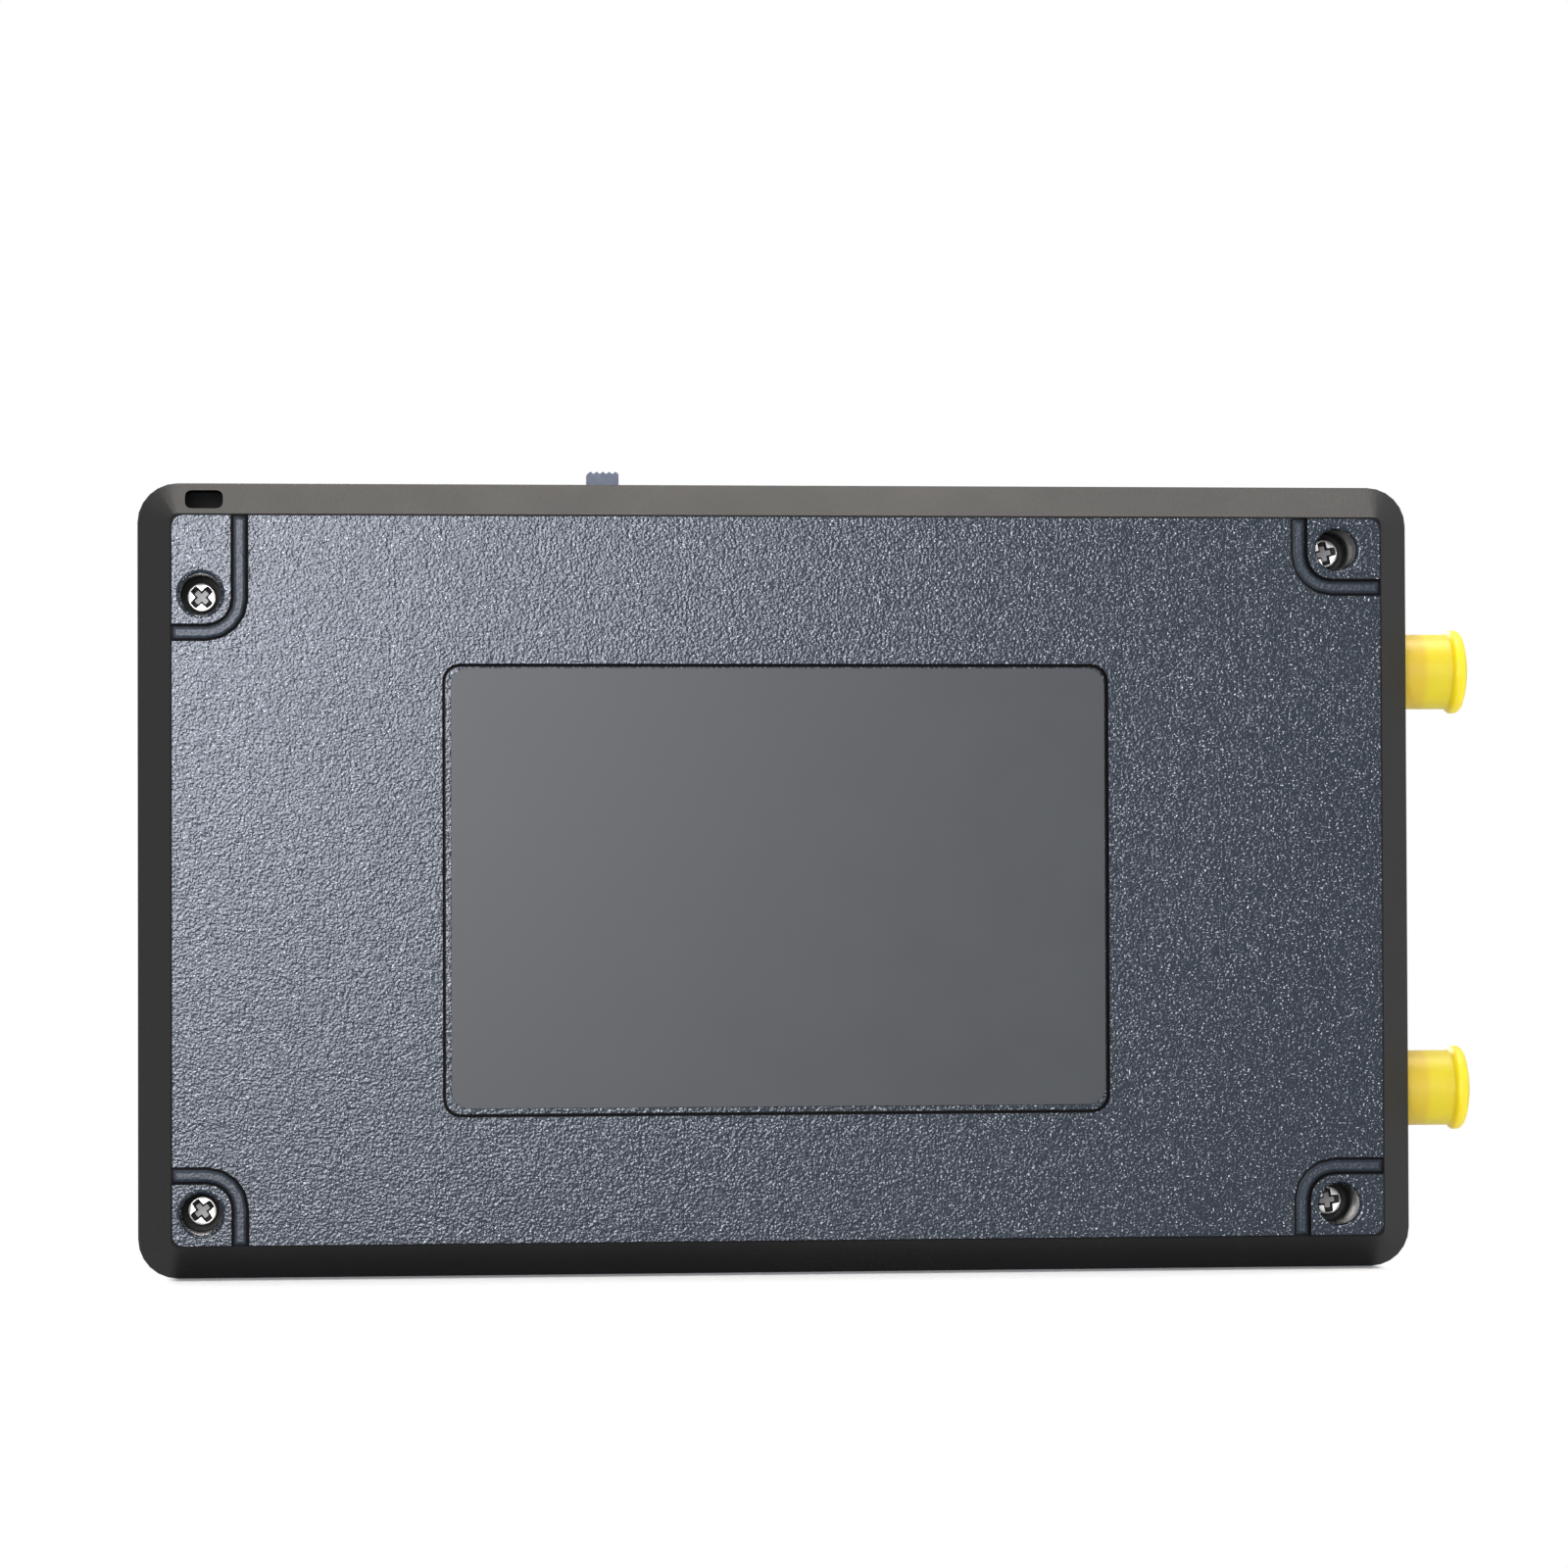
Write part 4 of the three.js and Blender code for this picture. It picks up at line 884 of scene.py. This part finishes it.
# The cross seen from above: a quarter of its outline, turned four times
def crossOutline(length, width):
    side = [width + (length - width) * share for share in (0, 0.3, 0.6, 0.85, 1.0)]
    quarter = [(along, -width) for along in side]
    quarter += [(length * 1.03, -width / 2), (length * 1.05, 0), (length * 1.03, width / 2)]
    quarter += [(along, width) for along in reversed(side[1:])]
    points = []
    for arm in range(4):
        cosine, sine = math.cos(arm * math.pi / 2), math.sin(arm * math.pi / 2)
        points += [(cosine * u - sine * v, sine * u + cosine * v) for u, v in quarter]
    return points


def circleOutline(radius, count):
    angles = [-math.pi / 4 + 2 * math.pi / count * i for i in range(count)]
    return [(radius * math.cos(angle), radius * math.sin(angle)) for angle in angles]


def ringOf(bm, outline, depth, middle):
    verts = [bm.verts.new((middle.x + u, depth, middle.z + v)) for u, v in outline]
    for i in range(len(verts)):
        bm.edges.new((verts[i - 1], verts[i]))
    return verts


# Extrudes a ring of vertices and moves the new ones onto the next outline
def nextRing(bm, verts, outline, depth, middle):
    ends = set(verts)
    edges = [edge for edge in bm.edges if set(edge.verts) <= ends]
    made = bmesh.ops.extrude_edge_only(bm, edges=edges)["geom"]
    partner = {vert.co.copy().freeze(): vert for vert in made if isinstance(vert, bmesh.types.BMVert)}
    following = [partner[vert.co.copy().freeze()] for vert in verts]
    for vert, (u, v) in zip(following, outline):
        vert.co = (middle.x + u, depth, middle.z + v)
    return following


def screwPiece(name, node, headRadius, headHeight, shankRadius, angle):
    look = screwLook
    bm = bmesh.new()
    low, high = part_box(node)
    middle = (low + high) / 2
    axisAt = Vector((middle.x, 0, middle.z))
    cross = crossOutline(headRadius * look["recessLength"], headRadius * look["recessWidth"])
    count = len(cross)
    top = low.y
    tip = high.y
    under = top + headHeight
    flat = headRadius * look["flatShare"]

    def level(radius):
        share = radius / headRadius
        drop = 1 - math.sqrt(max(0, 1 - share ** look["edgePower"]))
        return top + headHeight * look["headEdge"] * drop

    def addRing(verts, radius, depth):
        return nextRing(bm, verts, circleOutline(radius, count), depth, middle)

    verts = ringOf(bm, circleOutline(shankRadius, count), under, middle)
    verts = addRing(verts, headRadius - look["headUnder"], under)
    verts = addRing(verts, headRadius, under - look["headUnder"])
    for share in look["edgeRings"]:
        verts = addRing(verts, headRadius * share, level(headRadius * share))
    pairs = list(zip(circleOutline(flat, count), cross))
    for share in (0.5, 0.92, 1.0):
        blended = [(a[0] + (b[0] - a[0]) * share, a[1] + (b[1] - a[1]) * share) for a, b in pairs]
        sink = look["recessRim"] if share == 1.0 else 0
        verts = nextRing(bm, verts, blended, level(flat - 0.3 * share * headRadius) + sink, middle)
    for share in (0.5, 1.0):
        size = 1 - (1 - look["taper"]) * share
        shrunk = [(u * size, v * size) for u, v in cross]
        verts = nextRing(bm, verts, shrunk, top + look["recessDepth"] * share, middle)
    bm.faces.new(verts)
    shank = [
        (0, tip),
        (shankRadius * look["tipShare"], tip),
        (shankRadius, tip - look["tipLength"]),
        (shankRadius, under),
    ]
    turn(bm, shank, axisAt, alongY, count)
    turned = Matrix.Rotation(math.radians(angle), 3, "Y")
    bmesh.ops.rotate(bm, verts=bm.verts, cent=axisAt, matrix=turned)
    wind(
        bm,
        shankRadius - look["threadDepth"],
        shankRadius + look["threadRise"],
        under + look["threadFrom"],
        tip - look["threadTo"],
        look["threadPitch"],
        axisAt,
        alongY,
        look["threadSteps"],
    )
    bmesh.ops.remove_doubles(bm, verts=bm.verts, dist=weld)
    bmesh.ops.recalc_face_normals(bm, faces=bm.faces)

    # Faces deep in the cross recess take the nickel painted dark as shade
    def inRecess(face):
        spot = face.calc_center_median()
        inside = math.hypot(spot.x - middle.x, spot.z - middle.z) < flat
        return "recess" if inside and top + look["recessFrom"] < spot.y < under else "nickel"

    addPiece(name, bm, ["nickel", "recess"], "housing", [node], sharp=38, facets=inRecess)


# Push-on caps: thin sleeve, flared grip rim and a slightly domed end
capShape = {
    "bore": 3.325 * mm,
    "body": 3.9 * mm,
    "rimLength": 2.15 * mm,
    "endWall": 1.0 * mm,
    "dome": 0.66 * mm,
    "short": 0.22 * mm,                       # the crown stops this far inside the CAD's end
    "shoulder": 0.7 * mm,
    "flare": 0.62 * mm,
    "flareSteps": 8,
    "shoulderSteps": 6,
    "soft": 0.15 * mm,
    "steps": 96,
}


def capPiece(name, node, body):
    shape = capShape
    low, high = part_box(node)
    middle = (low + high) / 2
    rim = (high.z - low.z) / 2
    opening, end = low.x, high.x - shape["short"]
    rimStart = high.x - shape["rimLength"]
    floorAt = high.x - shape["endWall"]
    soft = shape["soft"]
    shoulder = shape["shoulder"]
    profile = [
        (0, floorAt),
        (shape["bore"] - 2 * soft, floorAt),
        (shape["bore"], floorAt - 2 * soft),
        (shape["bore"], opening + soft),
        (shape["bore"] + soft, opening),
        (shape["body"] - soft, opening),
        (shape["body"] - soft * 0.3, opening + soft * 0.3),
        (shape["body"], opening + soft),
    ]
    for step in range(shape["flareSteps"] + 1):
        share = step / shape["flareSteps"]
        eased = share * share * (3 - 2 * share)
        radius = shape["body"] + (rim - shape["body"]) * eased
        profile.append((radius, rimStart + shape["flare"] * (share - 0.5)))
    slope = math.atan(2 * shape["dome"] / (rim - shoulder * 0.6))     # where the shoulder meets the dome
    domeEdge = rim - shoulder * (1 - math.sin(slope))
    shoulderAt = end - shape["dome"] - shoulder * math.cos(slope)
    for step in range(shape["shoulderSteps"] + 1):
        angle = (math.pi / 2 - slope) * step / shape["shoulderSteps"]
        profile.append((rim - shoulder * (1 - math.cos(angle)), shoulderAt + shoulder * math.sin(angle)))
    for share in (0.84, 0.67, 0.5, 0.33, 0.16, 0):
        profile.append((domeEdge * share, end - shape["dome"] * share ** 2))
    bm = bmesh.new()
    turn(bm, profile, Vector((0, middle.y, middle.z)), alongX, shape["steps"])

    def onRim(face):
        return "grip" if face.calc_center_median().x > rimStart else "cap"

    addPiece(name, bm, ["cap", "grip"], body, [node], sharp=50, facets=onRim)


# Threaded coaxial jacks, with four legs into the board
jackShape = {
    "bore": 2.15 * mm,
    "mouth": 2.3 * mm,
    "mouthDepth": 1.9 * mm,
    "neck": 2.7 * mm,
    "neckLength": 1.2 * mm,
    "core": 2.82 * mm,
    "crest": 3.17 * mm,
    "pitch": 0.7056 * mm,
    "threadRoot": 0.1 * mm,                   # the ridge starts this far inside the core
    "lead": 0.3 * mm,
    "flange": 8.0 * mm,
    "flangeThick": 1.8 * mm,
    "legReach": 4.0 * mm,
    "legWidth": 1.2 * mm,
    "legThick": 1.0 * mm,
    "edge": 0.08 * mm,
    "steps": 64,
    "threadSteps": 48,
}


def boxInto(bm, low, high):
    size = Vector(high) - Vector(low)
    middle = (Vector(high) + Vector(low)) / 2
    bmesh.ops.create_cube(bm, size=1, matrix=Matrix.Translation(middle) @ Matrix.Diagonal((*size, 1)))


def jackPiece(name, node):
    shape = jackShape
    low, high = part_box(node)
    middle = (low + high) / 2
    flangeBack = low.x + shape["legReach"]
    flangeFront = flangeBack + shape["flangeThick"]
    threadFrom = flangeFront + shape["neckLength"]
    half = shape["flange"] / 2
    bm = bmesh.new()
    for side in (-1, 1):
        edge = middle.z + side * half
        across = sorted((edge, edge - side * shape["legWidth"]))
        for back, front in ((low.y, low.y + shape["legThick"]), (high.y - shape["legThick"], high.y)):
            boxInto(bm, (low.x, back, across[0]), (flangeBack + shape["edge"], front, across[1]))
    softenEdges(bm, list(bm.edges), shape["edge"], 1)
    axisAt = Vector((0, middle.y, middle.z))
    profile = [
        (shape["bore"], flangeBack),
        (half, flangeBack),
        (half, flangeFront),
        (shape["neck"], flangeFront),
        (shape["neck"], threadFrom),
        (shape["core"], threadFrom),
        (shape["core"], high.x - shape["lead"]),
        (shape["core"] - shape["lead"], high.x),
        (shape["mouth"] + shape["edge"], high.x),
        (shape["mouth"], high.x - shape["edge"]),
        (shape["mouth"], high.x - shape["mouthDepth"]),
        (shape["bore"], high.x - shape["mouthDepth"]),
    ]
    turn(bm, profile, axisAt, alongX, shape["steps"], closed=True)
    wind(
        bm,
        shape["core"] - shape["threadRoot"],
        shape["crest"],
        threadFrom,
        high.x - shape["lead"] / 2,
        shape["pitch"],
        axisAt,
        alongX,
        shape["threadSteps"],
    )
    addPiece(name, bm, ["gild"], "housing", [node], sharp=38)


insulatorShape = {"bore": 0.735 * mm, "soft": 0.1 * mm, "steps": 48}


def insulatorPiece(name, node):
    low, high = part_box(node)
    middle = (low + high) / 2
    outer = (high.z - low.z) / 2
    inner = insulatorShape["bore"]
    soft = insulatorShape["soft"]
    profile = [
        (inner, low.x),
        (outer - soft, low.x),
        (outer, low.x + soft),
        (outer, high.x - soft),
        (outer - soft, high.x),
        (inner + soft, high.x),
        (inner, high.x - soft),
    ]
    bm = bmesh.new()
    turn(bm, profile, Vector((0, middle.y, middle.z)), alongX, insulatorShape["steps"], closed=True)
    addPiece(name, bm, ["insulator"], "housing", [node])


# Centre contacts: a pin that ends in slit fingers
contactShape = {
    "bore": 0.45 * mm,
    "fingers": 4,
    "fingerLength": 2.2 * mm,
    "fingerSteps": 8,
    "halfSlit": 0.12,                         # radians
    "soft": 0.05 * mm,
    "steps": 32,
}


def contactPiece(name, node):
    shape = contactShape
    low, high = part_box(node)
    middle = (low + high) / 2
    axisAt = Vector((0, middle.y, middle.z))
    outer = (high.z - low.z) / 2
    bore = shape["bore"]
    root = high.x - shape["fingerLength"]
    soft = shape["soft"]
    bm = bmesh.new()
    pin = [(0, low.x), (outer - soft, low.x), (outer, low.x + soft), (outer, root), (0, root)]
    turn(bm, pin, axisAt, alongX, shape["steps"])
    share = 2 * math.pi / shape["fingers"]
    corners = [(bore, root), (outer, root), (outer, high.x - soft), (outer - soft, high.x), (bore, high.x)]
    for finger in range(shape["fingers"]):
        start = Matrix.Rotation(finger * share + shape["halfSlit"], 3, "X") @ Vector((0, 0, 1))
        verts = [bm.verts.new(axisAt + start * radius + alongX * along) for radius, along in corners]
        bmesh.ops.spin(
            bm,
            geom=[bm.faces.new(verts)],
            cent=axisAt,
            axis=alongX,
            angle=share - 2 * shape["halfSlit"],
            steps=shape["fingerSteps"],
        )
    bmesh.ops.recalc_face_normals(bm, faces=bm.faces)
    addPiece(name, bm, ["gild"], "housing", [node], sharp=38)


# Contact tongue of the charging socket, with gilt strips on both faces
tongueLook = {
    "edge": 0.05 * mm,
    "half": 0.35 * mm,
    "strips": 8,
    "stripSpan": 6.0 * mm,
    "stripWidth": 0.3 * mm,
    "stripLength": 2.9 * mm,
    "rise": 0.03 * mm,
    "fromTip": 0.35 * mm,
}


def tonguePiece():
    look = tongueLook
    bm = softCopy("usb_tongue", (look["edge"], 2, everyEdge))
    low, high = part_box("usb_tongue")
    middle = (low + high) / 2
    plain = set(bm.faces)
    top = high.z - look["fromTip"]
    for strip in range(look["strips"]):
        x = middle.x + (strip - (look["strips"] - 1) / 2) * look["stripSpan"] / look["strips"]
        for side in (-1, 1):
            face = middle.y + side * look["half"]
            depths = sorted((face + side * look["rise"], face - side * look["rise"]))
            boxInto(
                bm,
                (x - look["stripWidth"] / 2, depths[0], top - look["stripLength"]),
                (x + look["stripWidth"] / 2, depths[1], top),
            )

    def giltStrips(face):
        return "black" if face in plain else "gild"

    materials = ["black", "gild"]
    addPiece("usbTongue", bm, materials, "housing", ["usb_tongue"], facets=giltStrips)


backShell()
frontShell()
print("shells made")

for kind, sizes in screwSizes.items():
    for number, angle in screwTurns.items():
        screwPiece(f"{kind}Screw{number}", f"{kind}_screw_{number}", *sizes, angle)
for number, body in ((1, "cap_upper"), (2, "cap_lower")):
    capPiece(f"dustCap{number}", f"dust_cap_{number}", body)
    jackPiece(f"portJack{number}", f"port_jack_{number}")
    insulatorPiece(f"portInsulator{number}", f"port_insulator_{number}")
    contactPiece(f"portContact{number}", f"port_contact_{number}")
tonguePiece()
print("turned pieces made")

# Copies of moulded and pressed nodes with their edges softened by so many millimetres
softened = [
    ("ratingLabel", "rating_label", 0.06, "label", "housing", "label_satin"),
    ("switchKnob", "power_switch_knob", 0.05, "knob", "switch_knob", "knob_plastic"),
    ("jogLever", "jog_lever", 0.05, "black", "jog_lever", "black_plastic"),
    ("jogBody", "jog_body", 0.08, "black", "housing", "black_plastic"),
    ("usbShell", "usb_shell", 0.06, "steel", "housing", "pressed_steel"),
    ("cardSleeve", "card_socket", 0.06, "steel", "housing", "pressed_steel"),
    ("touchGlass", "touch_panel", 0.15, "glass", "housing", "dark_glass"),
    ("shieldCan1", "radio_shield_1", 0.08, "steel", "housing", "pressed_steel"),
    ("shieldCan2", "radio_shield_2", 0.08, "steel", "housing", "pressed_steel"),
]
for name, node, width, finish, body, slot in softened:
    bm = softCopy(node, (width * mm, 2, everyEdge))
    addPiece(name, bm, [finish], body, [node])

# The remaining nodes keep their own shape and take a finish
nodeFinishes = {
    "foam": ["screen_gasket", "screen_foam", "battery_pad"],
    "screen": ["screen_panel"],
    "ribbon": ["display_ribbon"],
    "cream": ["ribbon_socket", "battery_header", "battery_plug"],
    "board": ["main_board"],
    "steel": ["power_switch_body", "jog_carriage", "crystal_can"],
    "pouch": ["battery"],
    "redWire": ["battery_lead_red"],
    "blackWire": ["battery_lead_black"],
    "chip": [
        "power_inductor",
        "mcu_chip",
        "memory_chip",
        "codec_chip",
        "clock_chip",
        "charger_chip",
        "mixer_chip_1",
        "mixer_chip_2",
        "mixer_chip_3",
    ],
}
for key, nodes in nodeFinishes.items():
    for node in nodes:
        slots = frame["nodes"][node].data.materials
        slots.clear()
        slots.append(finishes[key])
print("finishes given to", sum(len(nodes) for nodes in nodeFinishes.values()), "inner nodes")

# Lamps, all aimed at the middle of the housing
lamps = {
    "key": {"place": (-0.19, -1.10, 0.20), "size": (0.42, 0.40), "power": 10.5, "colour": (1.0, 0.98, 1.0)},
    "top": {"place": (0.03, -0.02, 1.15), "size": (0.8, 0.6), "power": 17, "colour": (1.0, 0.94, 0.88)},
    "fill": {"place": (1.1, -0.55, 0.45), "size": (0.7, 0.7), "power": 3, "colour": (0.97, 0.98, 1.0)},
    "rear": {"place": (-0.35, 1.05, 0.60), "size": (0.6, 0.5), "power": 9, "colour": (1.0, 0.99, 0.98)},
}
aim = Vector((0, 0, (housingLow.z + housingHigh.z) / 2))
for name, lamp in lamps.items():
    data = bpy.data.lights.new(name, "AREA")
    data.shape = "RECTANGLE"
    data.size, data.size_y = lamp["size"]
    data.energy = lamp["power"]
    data.color = lamp["colour"]
    holder = bpy.data.objects.new(name, data)
    holder.location = lamp["place"]
    holder.rotation_euler = (aim - Vector(lamp["place"])).to_track_quat("-Z", "Y").to_euler()
    holder.visible_camera = False
    scene.collection.objects.link(holder)


# White is only what the lens and the polished parts see; the object gets a dim grey room
def whiteWhereSeen(tree):
    path = tree.nodes.new("ShaderNodeLightPath")
    lens, gloss, clear = (
        Wire(tree, path.outputs[ray]) for ray in ("Is Camera Ray", "Is Glossy Ray", "Is Transmission Ray")
    )
    return lens + gloss + clear


roomLook = {"dim": 0.28, "seen": 0.72}
room = bpy.data.worlds.new("room")
room.use_nodes = True
scene.world = room
backdrop = room.node_tree.nodes["Background"]
backdrop.inputs["Color"].default_value = tone(1, 1, 1)
roomLight = whiteWhereSeen(room.node_tree) * roomLook["seen"] + roomLook["dim"]
connect(room.node_tree, roomLight, backdrop.inputs["Strength"])

# Pale floor that keeps the shadow near the housing and fades to plain white around it
floorLook = {
    "half": 3.0,
    "dark": tone(0.79, 0.815, 0.84),
    "light": tone(0.83, 0.855, 0.88),
    "grain": 900,
    "near": 7 * mm,
    "far": 17 * mm,
    "corner": 5.5 * mm,
    "sideways": 6,                            # the fade is this much quicker at both ends
    "fixed": {"Roughness": 0.9, "Specular IOR Level": 0.0},
}


def paleFloor():
    look = floorLook
    finish = Finish("paleFloor", look["fixed"])
    finish.give("Base Color", finish.mix(finish.noise(look["grain"]), look["dark"], look["light"]))
    x, y, z = finish.axes()
    besideX = (abs(x) - (housingHigh.x - look["corner"])).atLeast(0) * look["sideways"]
    besideY = (abs(y) - frontHigh.y).atLeast(0)
    away = (besideX * besideX + besideY * besideY).root()
    glow = finish.node("ShaderNodeEmission", sockets={"Color": tone(1, 1, 1), "Strength": 1.0})
    shaded = Wire(finish.tree, finish.shader.outputs[0])
    white = whiteWhereSeen(finish.tree) * finish.fade(away, look["near"], look["far"])
    blend = finish.node("ShaderNodeMixShader", sockets={0: white, 1: shaded, 2: glow})
    connect(finish.tree, blend, finish.tree.nodes["Material Output"].inputs[0])
    return finish.material


floorMesh = bpy.data.meshes.new("floor")
floorBm = bmesh.new()
bmesh.ops.create_grid(floorBm, x_segments=1, y_segments=1, size=floorLook["half"])
floorBm.to_mesh(floorMesh)
floorBm.free()
floorMesh.materials.append(paleFloor())
floor = bpy.data.objects.new("floor", floorMesh)
scene.collection.objects.link(floor)
print("stage set")
